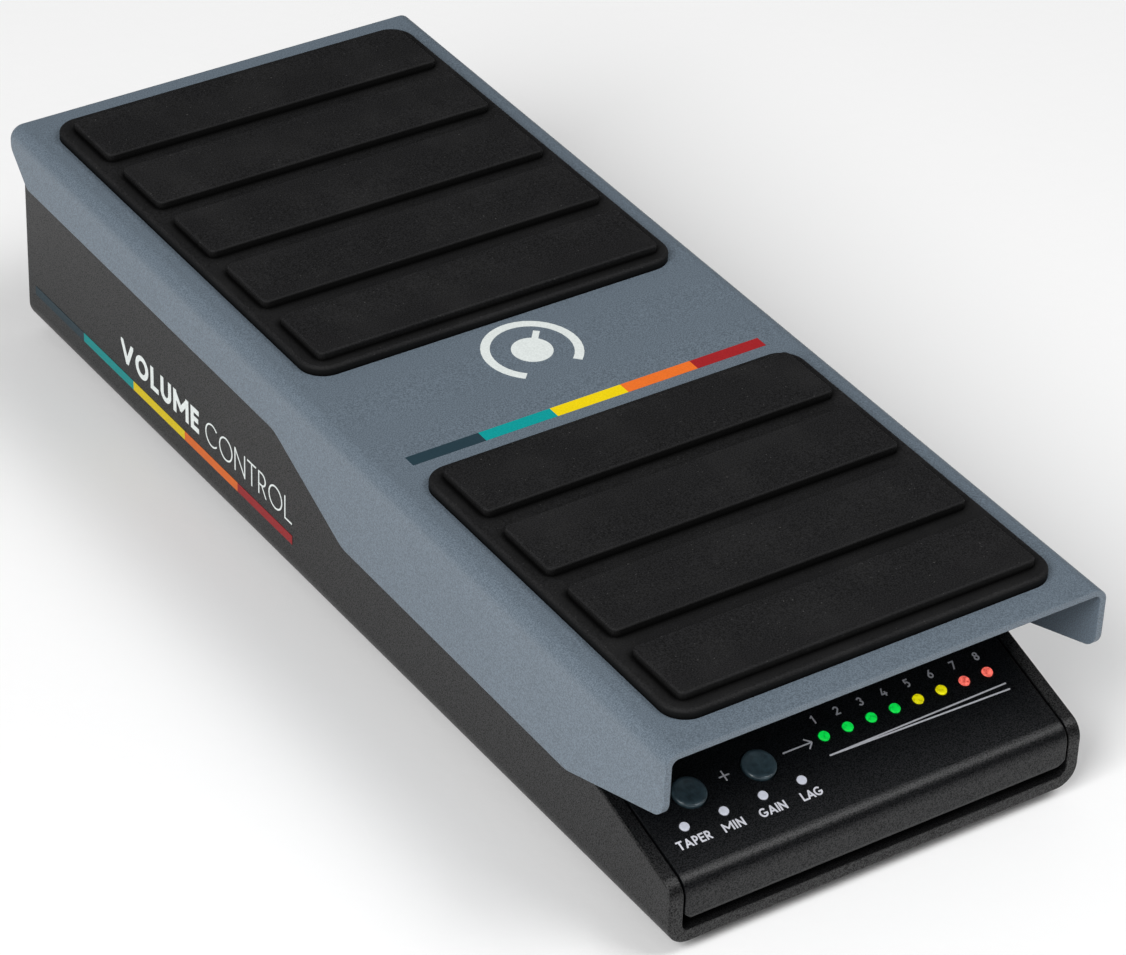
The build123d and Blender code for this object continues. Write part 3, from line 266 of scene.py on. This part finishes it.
def plated_metal(name, colour, tarnish, roughness, metallic=1.0):
    """Turned or stamped metal under a thin plating, dulled in patches, bright on edges."""
    look = Look(name, Metallic=metallic)
    marks = look.noise(0.7 * MM, detail=4.0)
    patches = look.remap(look.noise(5 * MM, detail=4.0), 0.4, 0.7)
    dulled = look.mix(look.times(patches, 0.6), colour, tarnish)
    look.paint(look.mix(look.times(look.edges(0.3 * MM), 0.5), dulled, scaled(colour, 1.25)))
    look.rough(look.plus(marks, look.times(patches, 0.2)), roughness, roughness + 0.22)
    look.bump(marks, 0.012 * MM, edge_radius=0.15 * MM)
    return look.material


def zinc_steel():
    return plated_metal("zinc_steel", linear(186, 190, 194), linear(140, 142, 142), 0.26)


def axle_steel():
    return plated_metal("axle_steel", linear(170, 172, 176), linear(118, 118, 118), 0.20)


def black_steel():
    return plated_metal("black_steel", linear(46, 46, 48), linear(70, 66, 62), 0.34, metallic=0.7)


def bronze():
    return plated_metal("bronze", linear(176, 130, 78), linear(118, 84, 52), 0.32)


def nickel():
    return plated_metal("nickel", linear(204, 200, 190), linear(160, 154, 142), 0.18)


def capacitor_can():
    return plated_metal("capacitor_can", linear(180, 182, 188), linear(140, 142, 150), 0.3)


def moulded_plastic(name, colour, roughness, subsurface=0.0):
    """Injection-moulded plastic with a fine spark-eroded grain and rubbed edges."""
    look = Look(name, Subsurface_Weight=subsurface, Subsurface_Scale=0.5 * MM)
    grain = look.noise(0.3 * MM, detail=2.0)
    flow = look.noise(7 * MM, detail=3.0)
    mottled = look.mix(look.remap(flow, 0.3, 0.7), scaled(colour, 0.88), scaled(colour, 1.1))
    look.paint(look.mix(look.times(look.edges(0.3 * MM), 0.2), mottled, scaled(colour, 1.7)))
    look.rough(grain, roughness - 0.06, roughness + 0.08)
    look.bump(grain, 0.02 * MM, edge_radius=0.2 * MM)
    return look.material


def nylon_natural():
    return moulded_plastic("nylon_natural", linear(216, 210, 194), 0.42, subsurface=0.2)


def nylon_black():
    return moulded_plastic("nylon_black", linear(28, 28, 30), 0.45)


def component_black():
    return moulded_plastic("component_black", linear(32, 32, 33), 0.55)


def wire_insulation():
    return moulded_plastic("wire_insulation", linear(150, 34, 30), 0.4)


def smoked_button():
    """Smoke-tinted acrylic cap: satin, with a cloudy body under the surface and a painted highlight round its rim.
    """
    look = Look("smoked_button", Coat_Weight=1.0, Coat_Roughness=0.18, IOR=1.49)
    haze = look.noise(1.6 * MM, detail=4.0)
    cloudy = look.mix(look.remap(haze, 0.35, 0.65), linear(44, 60, 68), linear(66, 87, 96))
    # painted highlight: lighter round the cap's rim
    look.paint(look.mix(look.times(look.edges(0.5 * MM), 0.7), cloudy, linear(124, 142, 150)))
    look.rough(haze, 0.28, 0.42)
    look.bump(look.noise(0.4 * MM), 0.01 * MM, edge_radius=0.2 * MM)
    return look.material


def lit_lens(name, colour, strength, patchy=0.30, rim=0.4):
    """Diffused lamp lens, lit from inside, a little uneven, with a painted highlight round its rim."""
    look = Look(name, Emission_Strength=strength)
    frost = look.noise(0.7 * MM, detail=3.0)
    dim, bright = scaled(colour, 1 - patchy), scaled(colour, 1 + patchy)
    frosted = look.mix(look.remap(frost, 0.35, 0.65), dim, bright)
    look.glow(frosted)
    # painted highlight: the base colour lighter round the rim
    look.paint(look.mix(look.times(look.edges(0.3 * MM), rim), frosted, scaled(colour, 1.8)))
    look.rough(frost, 0.3, 0.45)
    look.bump(frost, 0.03 * MM)
    return look.material


def green_led():
    return lit_lens("green_led", linear(4, 205, 70), 0.66)


def yellow_led():
    return lit_lens("yellow_led", linear(214, 206, 4), 0.64)


def red_led():
    return lit_lens("red_led", linear(238, 94, 82), 0.95, patchy=0.6)


def white_led():
    """Milky lens of an unlit lamp, with a faint painted glow that brightens it."""
    return lit_lens("white_led", linear(196, 199, 210), 0.25, patchy=0.05, rim=0.0)


def circuit_board():
    """Green solder mask over faint copper tracks."""
    look = Look("circuit_board", Coat_Weight=0.3, Coat_Roughness=0.25)
    inputs = {"Vector": look.place, "Scale": 1 / (6 * MM), "Mortar Size": 0.05}
    tracks = look.node("ShaderNodeTexBrick", inputs).outputs["Fac"]
    weave = look.noise(0.6 * MM)
    mask = look.mix(look.remap(weave, 0.3, 0.7), linear(12, 66, 40), linear(18, 82, 50))
    look.paint(look.mix(look.times(tracks, 0.6), mask, linear(60, 118, 74)))
    look.rough(weave, 0.3, 0.45)
    look.bump(look.plus(tracks, look.times(weave, 0.2)), 0.03 * MM, edge_radius=0.1 * MM)
    return look.material


def ribbon_grey():
    """Flat cable: insulated cores side by side, with painted shade in the grooves between them."""
    look = Look("ribbon_grey")
    pitch = 1.27 * MM       # a wave texture at a scale of 1 turns through 20 radians in a metre
    inputs = {"Vector": look.place, "Scale": math.tau / 20 / pitch, "Distortion": 0.0}
    cores = look.node("ShaderNodeTexWave", inputs, bands_direction="X").outputs["Fac"]
    grain = look.noise(0.5 * MM)
    plain = look.mix(look.remap(grain, 0.3, 0.7), linear(140, 141, 144), linear(160, 161, 163))
    # painted shade: darker in the grooves between the cores
    look.paint(look.mix(look.remap(cores, 0.0, 0.4, 0.5, 0.0), plain, linear(90, 90, 94)))
    look.rough(grain, 0.45, 0.6)
    look.bump(cores, 0.25 * MM)
    return look.material


def ink(name, colour):
    """Screen-printed ink: nearly even, with the paint's grain showing through it."""
    look = Look(name, Specular_IOR_Level=0.22)
    grain = look.noise(0.45 * MM, detail=1.0)
    thin = look.remap(look.noise(2.5 * MM, detail=4.0), 0.3, 0.7)
    even = look.mix(look.remap(grain, 0.25, 0.75), scaled(colour, 0.9), scaled(colour, 1.08))
    look.paint(look.mix(look.times(thin, 0.15), even, scaled(colour, 0.7)))
    look.rough(grain, 0.45, 0.57)
    look.bump(grain, 0.02 * MM)
    return look.material


def pale_floor():
    look = Look("pale_floor")
    clouds = look.noise(0.6)
    look.paint(look.mix(clouds, linear(249, 249, 249), linear(252, 252, 252)))
    look.rough(clouds, 0.75, 0.85)
    look.bump(look.noise(4 * MM), 0.05 * MM)
    return look.material


SLOT_LOOKS = (
    blue_grey_powder_coat,
    charcoal_powder_coat,
    black_powder_coat,
    tread_rubber,
    foot_rubber,
    zinc_steel,
    axle_steel,
    black_steel,
    bronze,
    nickel,
    capacitor_can,
    nylon_natural,
    nylon_black,
    component_black,
    wire_insulation,
    smoked_button,
    green_led,
    yellow_led,
    red_led,
    white_led,
    circuit_board,
    ribbon_grey,
)
INKS = {
    "slate": linear(38, 60, 70),
    "teal": linear(0, 153, 152),
    "yellow": linear(240, 212, 0),
    "orange": linear(236, 114, 38),
    "red": linear(162, 32, 37),
    "white": linear(222, 228, 226),
    "lilac_white": linear(212, 213, 221),
    "pale_grey": linear(206, 207, 214),
}


def dress_frame(frame):
    """Give every CAD node the look of its material slot in the record."""
    looks = {make.__name__: make() for make in SLOT_LOOKS}
    for part in frame["record"]["subparts"]:
        node = frame["nodes"][part["node"]]
        for material_slot in node.material_slots:
            material_slot.material = looks[part["material_slot"]]


# ---------------------------------------------------------------- letters
ARC_STEP = 9            # degrees between the points of a curve
ARC_MIN_STEPS = 6
SQUARE_REACH = 0.5      # past each end of an upright or level stroke, in stroke widths
CUT_REACH = 2.0         # past a slanted stroke's end on the top or bottom line, to be cut off there
JOINT_REACH = 0.3       # past a slanted stroke's end anywhere else


def arc(cx, cy, rx, ry, start, end):
    """Part of an ellipse, angles in degrees, as a line of points."""
    steps = max(ARC_MIN_STEPS, round(abs(end - start) / ARC_STEP))
    angles = [math.radians(start + (end - start) * i / steps) for i in range(steps + 1)]
    return [(cx + rx * math.cos(a), cy + ry * math.sin(a)) for a in angles]


STEM = [(0, 0), (0, 1)]
BOWL = [[(0, 1), (0.22, 1)], [(0, 0.44), (0.22, 0.44)], arc(0.22, 0.72, 0.28, 0.28, 90, -90)]
# Each letter is its width and its strokes, down the middle of the line, with a height of 1.
# A stroke of two points is a straight bar; one of more is a smooth curve.
LETTERS = {
    "A": (0.84, [[(0.02, 0), (0.42, 1)], [(0.42, 1), (0.82, 0)], [(0.16, 0.28), (0.68, 0.28)]]),
    "C": (0.84, [arc(0.48, 0.5, 0.48, 0.5, 42, 318)]),
    "D": (0.76, [STEM, [(0, 1), (0.26, 1)], [(0, 0), (0.26, 0)], arc(0.26, 0.5, 0.5, 0.5, 90, -90)]),
    "E": (0.48, [STEM, [(0, 1), (0.48, 1)], [(0, 0.52), (0.42, 0.52)], [(0, 0), (0.48, 0)]]),
    "G": (0.88, [arc(0.46, 0.5, 0.46, 0.5, 46, 345), [(0.88, 0.42), (0.56, 0.42)]]),
    "I": (0.0, [STEM]),
    "L": (0.48, [STEM, [(0, 0), (0.48, 0)]]),
    "M": (1.16, [STEM, [(0, 1), (0.58, 0.3)], [(0.58, 0.3), (1.16, 1)], [(1.16, 0), (1.16, 1)]]),
    "N": (0.74, [STEM, [(0, 1), (0.74, 0)], [(0.74, 0), (0.74, 1)]]),
    "O": (0.96, [arc(0.48, 0.5, 0.48, 0.5, 0, 360)]),
    "P": (0.50, [STEM, *BOWL]),
    "R": (0.54, [STEM, *BOWL, [(0.22, 0.44), (0.52, 0)]]),
    "T": (0.60, [[(0.30, 0), (0.30, 1)], [(0, 1), (0.60, 1)]]),
    "U": (0.72, [[(0, 1), (0, 0.36)], arc(0.36, 0.36, 0.36, 0.36, 180, 360), [(0.72, 0.36), (0.72, 1)]]),
    "V": (0.92, [[(0, 1), (0.46, 0)], [(0.46, 0), (0.92, 1)]]),
    "1": (0.24, [[(0.24, 0), (0.24, 1)], [(0.0, 0.82), (0.24, 1)]]),
    "2": (0.54, [arc(0.27, 0.73, 0.27, 0.27, 165, -38), [(0.48, 0.56), (0.02, 0)], [(0.0, 0), (0.54, 0)]]),
    "3": (0.52, [arc(0.25, 0.76, 0.24, 0.24, 160, -90), arc(0.25, 0.26, 0.27, 0.26, 90, -160)]),
    "4": (0.66, [[(0.30, 1), (0.0, 0.26)], [(0.0, 0.26), (0.66, 0.26)], [(0.50, 0), (0.50, 0.5)]]),
    "5": (
        0.52,
        [[(0.08, 1), (0.50, 1)], [(0.08, 1), (0.08, 0.56)], arc(0.22, 0.32, 0.30, 0.32, 115, -115)],
    ),
    "6": (0.56, [arc(0.28, 0.30, 0.28, 0.30, 0, 360), [(0.04, 0.44), (0.40, 1)]]),
    "7": (0.52, [[(0, 1), (0.52, 1)], [(0.52, 1), (0.14, 0)]]),
    "8": (0.54, [arc(0.27, 0.77, 0.23, 0.23, 0, 360), arc(0.27, 0.27, 0.27, 0.27, 0, 360)]),
}


def inked_width(word, cap, weight):
    """Width of a word's letters without the gaps between them."""
    return sum(LETTERS[char][0] * (cap - weight) + weight for char in word)


def clipped(polygon, axis, limit, keep_above):
    """A convex outline cut off at a line along one axis."""
    kept = []
    for first, second in zip(polygon, polygon[1:] + polygon[:1]):
        first_in = (first[axis] >= limit) == keep_above
        second_in = (second[axis] >= limit) == keep_above
        if first_in:
            kept.append(first)
        if first_in != second_in:
            share = (limit - first[axis]) / (second[axis] - first[axis])
            kept.append(tuple(a + (b - a) * share for a, b in zip(first, second)))
    return kept


def bar(start, end, width, reaches=(0.0, 0.0)):
    """Outline of a straight stroke, counterclockwise, longer by a reach at its start and its end."""
    a, b = Vector(start), Vector(end)
    along = (b - a).normalized()
    across = Vector((-along.y, along.x)) * width / 2
    a, b = a - along * reaches[0], b + along * reaches[1]
    return [tuple(p) for p in (a - across, b - across, b + across, a + across)]


def slanted(stroke):
    """Whether a stroke is a straight one that neither stands upright nor lies level."""
    (ax, ay), (bx, by) = stroke[0], stroke[-1]
    return len(stroke) == 2 and ax != bx and ay != by


def stroke_reaches(stroke, letter):
    """How far a straight stroke of a letter runs past its two ends, in stroke widths."""
    if not slanted(stroke):
        return [SQUARE_REACH, SQUARE_REACH]
    joints = [end for other in letter if other is not stroke and slanted(other) for end in other]
    cut = [end[1] in (0, 1) and end not in joints for end in stroke]
    return [CUT_REACH if is_cut else JOINT_REACH for is_cut in cut]


class Print:
    """Thin raised ink on a flat face, drawn in millimetres in that face's own plane."""

    def __init__(self, plane):
        self.plane = plane
        self.mesh = bmesh.new()
        self.strokes = 0

    def vertex(self, point, height):
        x, y = point
        return self.mesh.verts.new(self.plane @ Vector((x * MM, y * MM, height)))

    def next_height(self):
        """Each stroke stands a hair above or below the one before it."""
        self.strokes += 1
        return INK_HEIGHT + INK_STEP * (self.strokes % INK_LEVELS)

    def polygon(self, outline):
        """A closed slab over a convex outline."""
        top = self.next_height()
        low = [self.vertex(p, -INK_DEPTH) for p in outline]
        high = [self.vertex(p, top) for p in outline]
        self.mesh.faces.new(high)
        self.mesh.faces.new(low[::-1])
        for i in range(len(outline)):
            j = (i + 1) % len(outline)
            self.mesh.faces.new((low[i], low[j], high[j], high[i]))

    def curve(self, points, width):
        """A closed slab of even width along a smooth line, or round a ring of points."""
        points = [Vector(p) for p in points]
        ring = (points[0] - points[-1]).length < 1e-6
        if ring:
            points.pop()
        count = len(points)
        top = self.next_height()
        sides = []
        for i, point in enumerate(points):
            before = points[i - 1] if i or ring else point
            after = points[(i + 1) % count] if i < count - 1 or ring else point
            along = (after - before).normalized()
            across = Vector((-along.y, along.x)) * width / 2
            edge = [(point - across, h) for h in (-INK_DEPTH, top)]
            edge += [(point + across, h) for h in (top, -INK_DEPTH)]
            sides.append([self.vertex(p, h) for p, h in edge])
        for i in range(count if ring else count - 1):
            here, there = sides[i], sides[(i + 1) % count]
            for k in range(4):
                m = (k + 1) % 4
                self.mesh.faces.new((here[k], there[k], there[m], here[m]))
        if not ring:
            self.mesh.faces.new(sides[0])
            self.mesh.faces.new(sides[-1][::-1])

    def letter(self, char, x, y, scale, weight):
        """One letter whose inked box starts at x, y; scale is its height less the weight."""
        width, strokes = LETTERS[char]
        x, y = x + weight / 2, y + weight / 2
        box = (
            (0, x - weight / 2, True),
            (0, x + width * scale + weight / 2, False),
            (1, y - weight / 2, True),
            (1, y + scale + weight / 2, False),
        )
        for stroke in strokes:
            points = [(x + px * scale, y + py * scale) for px, py in stroke]
            if len(points) > 2:
                self.curve(points, weight)
                continue
            reaches = [weight * reach for reach in stroke_reaches(stroke, strokes)]
            outline = bar(points[0], points[1], weight, reaches)
            for axis, limit, keep_above in box:
                outline = clipped(outline, axis, limit, keep_above)
            self.polygon(outline)

    def text(self, word, x, y, cap, weight, width):
        """A word from x to the right, spaced so that it is as wide as asked."""
        gaps = max(1, len(word) - 1)
        gap = (width - inked_width(word, cap, weight)) / gaps
        for char in word:
            self.letter(char, x, y, cap - weight, weight)
            x += inked_width(char, cap, weight) + gap

    def done(self, name, material, body):
        """The finished piece, riding on its body."""
        bmesh.ops.recalc_face_normals(self.mesh, faces=self.mesh.faces)
        data = bpy.data.meshes.new(name)
        self.mesh.to_mesh(data)
        self.mesh.free()
        piece = bpy.data.objects.new(name, data)
        bpy.context.scene.collection.objects.link(piece)
        data.materials.append(material)
        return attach(piece, body)


# ---------------------------------------------------------------- planes that carry print
def plane_at(origin, along, normal):
    """Matrix from a flat drawing, its x along and its z out of the face, to the row frame."""
    z = Vector(normal).normalized()
    x = Vector(along).normalized()
    turned = Matrix((x, z.cross(x), z)).transposed().to_4x4()
    turned.translation = origin
    return turned


def treadle_plane(frame):
    """Top of the treadle plate, its origin over the middle of the pedal."""
    mount = next(m for m in frame["record"]["mounts"] if m["name"] == "toe_tread")
    normal = Vector(mount["axis"])
    on_plate = Vector(mount["pos_m"]) - normal * TREAD_TOP
    up_plate = normal.cross(Vector((1, 0, 0)))
    return plane_at(on_plate - up_plate * (on_plate.y / up_plate.y), (1, 0, 0), normal)


def panel_plane(frame):
    """Face of the control panel, its origin in the middle of its lower edge."""
    press = next(j for j in frame["joints"] if j["name"] == "button_left_press")
    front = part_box("cover")[0].y
    return plane_at(Vector((0, front, PANEL_EDGE_HEIGHT)), (1, 0, 0), -Vector(press["axis"]))


def wall_planes():
    """Outer faces of the channel's two walls, x along the wall as its lettering reads."""
    low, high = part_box("base_channel")
    left = plane_at(Vector((low.x, 0, 0)), (0, -1, 0), (-1, 0, 0))
    right = plane_at(Vector((high.x, 0, 0)), (0, 1, 0), (1, 0, 0))
    return {"left": left, "right": right}


# ---------------------------------------------------------------- print on the pedal
def stripe(plane, start, end, bottom, top, name, inks, body):
    """Five equal blocks of colour in a row, one piece each."""
    step = (end - start) / len(STRIPE_COLOURS)
    for i, colour in enumerate(STRIPE_COLOURS):
        block = Print(plane)
        a, b = sorted((start + step * i, start + step * (i + 1)))
        block.polygon([(a, bottom), (b, bottom), (b, top), (a, top)])
        block.done(f"{name}_{colour}", inks[colour], body)


def treadle_print(frame, inks):
    """Stripe and control-knob mark on the bare plate between the treads."""
    plane = treadle_plane(frame)
    left, right, near, far = TREADLE_STRIPE
    stripe(plane, left, right, near, far, "treadle_stripe", inks, "treadle")
    mark = Print(plane)
    radius, stroke = DIAL_MARK_ARC
    mark.curve(arc(*DIAL_MARK_AT, radius, radius, *DIAL_MARK_SWEEP), stroke)
    mark.polygon(arc(*DIAL_MARK_AT, DIAL_MARK_KNOB_R, DIAL_MARK_KNOB_R, 0, 360)[:-1])
    pointing = Vector((math.cos(DIAL_MARK_ANGLE), math.sin(DIAL_MARK_ANGLE)))
    start, end, stroke = DIAL_MARK_POINTER
    mark.polygon(bar(DIAL_MARK_AT + pointing * start, DIAL_MARK_AT + pointing * end, stroke))
    mark.done("dial_mark", inks["white"], "treadle")


def wall_print(inks):
    """Stripe and lettering on both walls."""
    thin = {}
    for name in STRIPE_COLOURS:
        thin[name] = ink(f"thin_ink_{name}", scaled(INKS[name], WALL_STRIPE_SHADE))
    heel, toe, bottom, top = WALL_STRIPE
    for side, plane in wall_planes().items():
        sign = -1 if side == "left" else 1
        stripe(plane, sign * toe, sign * heel, bottom, top, f"{side}_wall_stripe", thin, "base")
        lettering = Print(plane)
        total = sum(width for word, weight, width in WALL_WORDS) + WALL_WORD_GAP
        x = -WALL_TEXT_START if side == "left" else WALL_TEXT_START - total
        for word, weight, width in WALL_WORDS:
            lettering.text(word, x, WALL_TEXT_BASELINE, WALL_TEXT_CAP, weight, width)
            x += width + WALL_WORD_GAP
        lettering.done(f"{side}_wall_lettering", inks["white"], "base")


def level_digits(plane, inks):
    """The numbers over the row of level lamps."""
    digits = Print(plane)
    first, pitch, count = LEVEL_LEDS
    for i in range(count):
        char = str(i + 1)
        width = inked_width(char, LEVEL_DIGIT_CAP, LEVEL_DIGIT_WEIGHT)
        x = first + pitch * i - width / 2
        digits.text(char, x, LEVEL_DIGIT_S, LEVEL_DIGIT_CAP, LEVEL_DIGIT_WEIGHT, width)
    digits.done("level_digits", inks["pale_grey"], "base")


def mode_labels(plane, inks):
    """The words under the row of mode lamps."""
    labels = Print(plane)
    first, pitch = MODE_LEDS
    for i, (word, width) in enumerate(MODE_LABELS):
        x = first + pitch * i - width / 2
        labels.text(word, x, MODE_LABEL_S, MODE_LABEL_CAP, MODE_LABEL_WEIGHT, width)
    labels.done("mode_labels", inks["lilac_white"], "base")


def panel_signs(plane, inks):
    """A plus, an arrow, and a wedge that opens towards the highest level."""
    signs = Print(plane)
    x, s = PLUS_AT
    signs.polygon(bar((x - PLUS_ARM, s), (x + PLUS_ARM, s), SIGN_WEIGHT))
    signs.polygon(bar((x, s - PLUS_ARM), (x, s + PLUS_ARM), SIGN_WEIGHT))
    signs.polygon(bar(ARROW_TAIL, ARROW_TIP, SIGN_WEIGHT))
    x, s = ARROW_TIP
    back, aside = ARROW_BARB
    for side in (-1, 1):
        signs.polygon(bar((x - back, s + aside * side), ARROW_TIP, SIGN_WEIGHT))
    for end in WEDGE_ENDS:
        signs.polygon(bar(WEDGE_POINT, end, WEDGE_WEIGHT))
    signs.done("panel_signs", inks["pale_grey"], "base")


def panel_print(frame, inks):
    """Digits, words and signs on the control panel."""
    plane = panel_plane(frame)
    level_digits(plane, inks)
    mode_labels(plane, inks)
    panel_signs(plane, inks)


def socket_print(inks):
    """Names of the sockets, over each of them on the rear face."""
    face_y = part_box("jack_washers")[0].y
    labels = Print(plane_at(Vector((0, face_y, 0)), (-1, 0, 0), (0, 1, 0)))
    for node, word in SOCKET_LABELS.items():
        low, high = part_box(node)
        letters = inked_width(word, SOCKET_LABEL_CAP, SOCKET_LABEL_WEIGHT)
        width = letters + SOCKET_LETTER_GAP * (len(word) - 1)
        x = -(low.x + high.x) / 2 / MM - width / 2
        labels.text(word, x, SOCKET_LABEL_Z, SOCKET_LABEL_CAP, SOCKET_LABEL_WEIGHT, width)
    labels.done("socket_labels", inks["white"], "base")


# ---------------------------------------------------------------- studio
def make_camera():
    data = bpy.data.cameras.new("camera")
    data.lens = CAMERA_LENS
    data.sensor_width = SENSOR_WIDTH
    data.clip_end = 20.0
    camera = bpy.data.objects.new("camera", data)
    level = (CAMERA_AIM - CAMERA_AT).to_track_quat("-Z", "Y").to_matrix().to_4x4()
    camera.matrix_world = Matrix.Translation(CAMERA_AT) @ level @ Matrix.Rotation(CAMERA_ROLL, 4, "Z")
    bpy.context.scene.collection.objects.link(camera)
    bpy.context.scene.camera = camera


def make_lights():
    for name, (place, side, power) in SOFTBOXES.items():
        data = bpy.data.lights.new(name, "AREA")
        data.shape = "SQUARE"
        data.size = side
        data.energy = power
        light = bpy.data.objects.new(name, data)
        light.location = place
        light.rotation_euler = (-Vector(place)).to_track_quat("-Z", "Y").to_euler()
        bpy.context.scene.collection.objects.link(light)


def make_room():
    """Room with a pale backdrop that only the camera sees, dimmer still in glossy paint."""
    world = bpy.data.worlds.new("studio")
    world.use_nodes = True
    tree = world.node_tree
    rays = add_node(tree, "ShaderNodeLightPath", {}).outputs
    strength = ROOM_LIGHT
    for ray, seen in (("Is Glossy Ray", ROOM_SHEEN), ("Is Camera Ray", BACKDROP)):
        inputs = {"Value": rays[ray], "To Min": strength, "To Max": seen}
        strength = add_node(tree, "ShaderNodeMapRange", inputs).outputs["Result"]
    background = tree.nodes["Background"].inputs
    tree.links.new(strength, background["Strength"])
    background["Color"].default_value = (1.0, 1.0, 1.0, 1.0)
    bpy.context.scene.world = world


def make_floor():
    data = bpy.data.meshes.new("floor")
    half = FLOOR_HALF_SIDE
    corners = [(-half, -half, 0), (half, -half, 0), (half, half, 0), (-half, half, 0)]
    data.from_pydata(corners, [], [(0, 1, 2, 3)])
    data.materials.append(pale_floor())
    floor = bpy.data.objects.new("floor", data)
    bpy.context.scene.collection.objects.link(floor)


with open("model.json") as file:
    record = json.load(file)
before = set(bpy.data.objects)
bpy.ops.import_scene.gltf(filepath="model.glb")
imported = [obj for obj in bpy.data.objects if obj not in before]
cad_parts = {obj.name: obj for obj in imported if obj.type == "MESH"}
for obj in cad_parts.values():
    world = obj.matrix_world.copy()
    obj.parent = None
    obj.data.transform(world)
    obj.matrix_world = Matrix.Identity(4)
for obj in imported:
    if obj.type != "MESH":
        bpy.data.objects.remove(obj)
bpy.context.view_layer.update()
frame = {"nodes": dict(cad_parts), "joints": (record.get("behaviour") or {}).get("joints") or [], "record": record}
bpy.context.scene.view_settings.view_transform = "Standard"
make_camera()
make_lights()
make_room()
make_floor()
dress_frame(frame)
ink_looks = {name: ink(f"ink_{name}", colour) for name, colour in INKS.items()}
treadle_print(frame, ink_looks)
wall_print(ink_looks)
panel_print(frame, ink_looks)
socket_print(ink_looks)
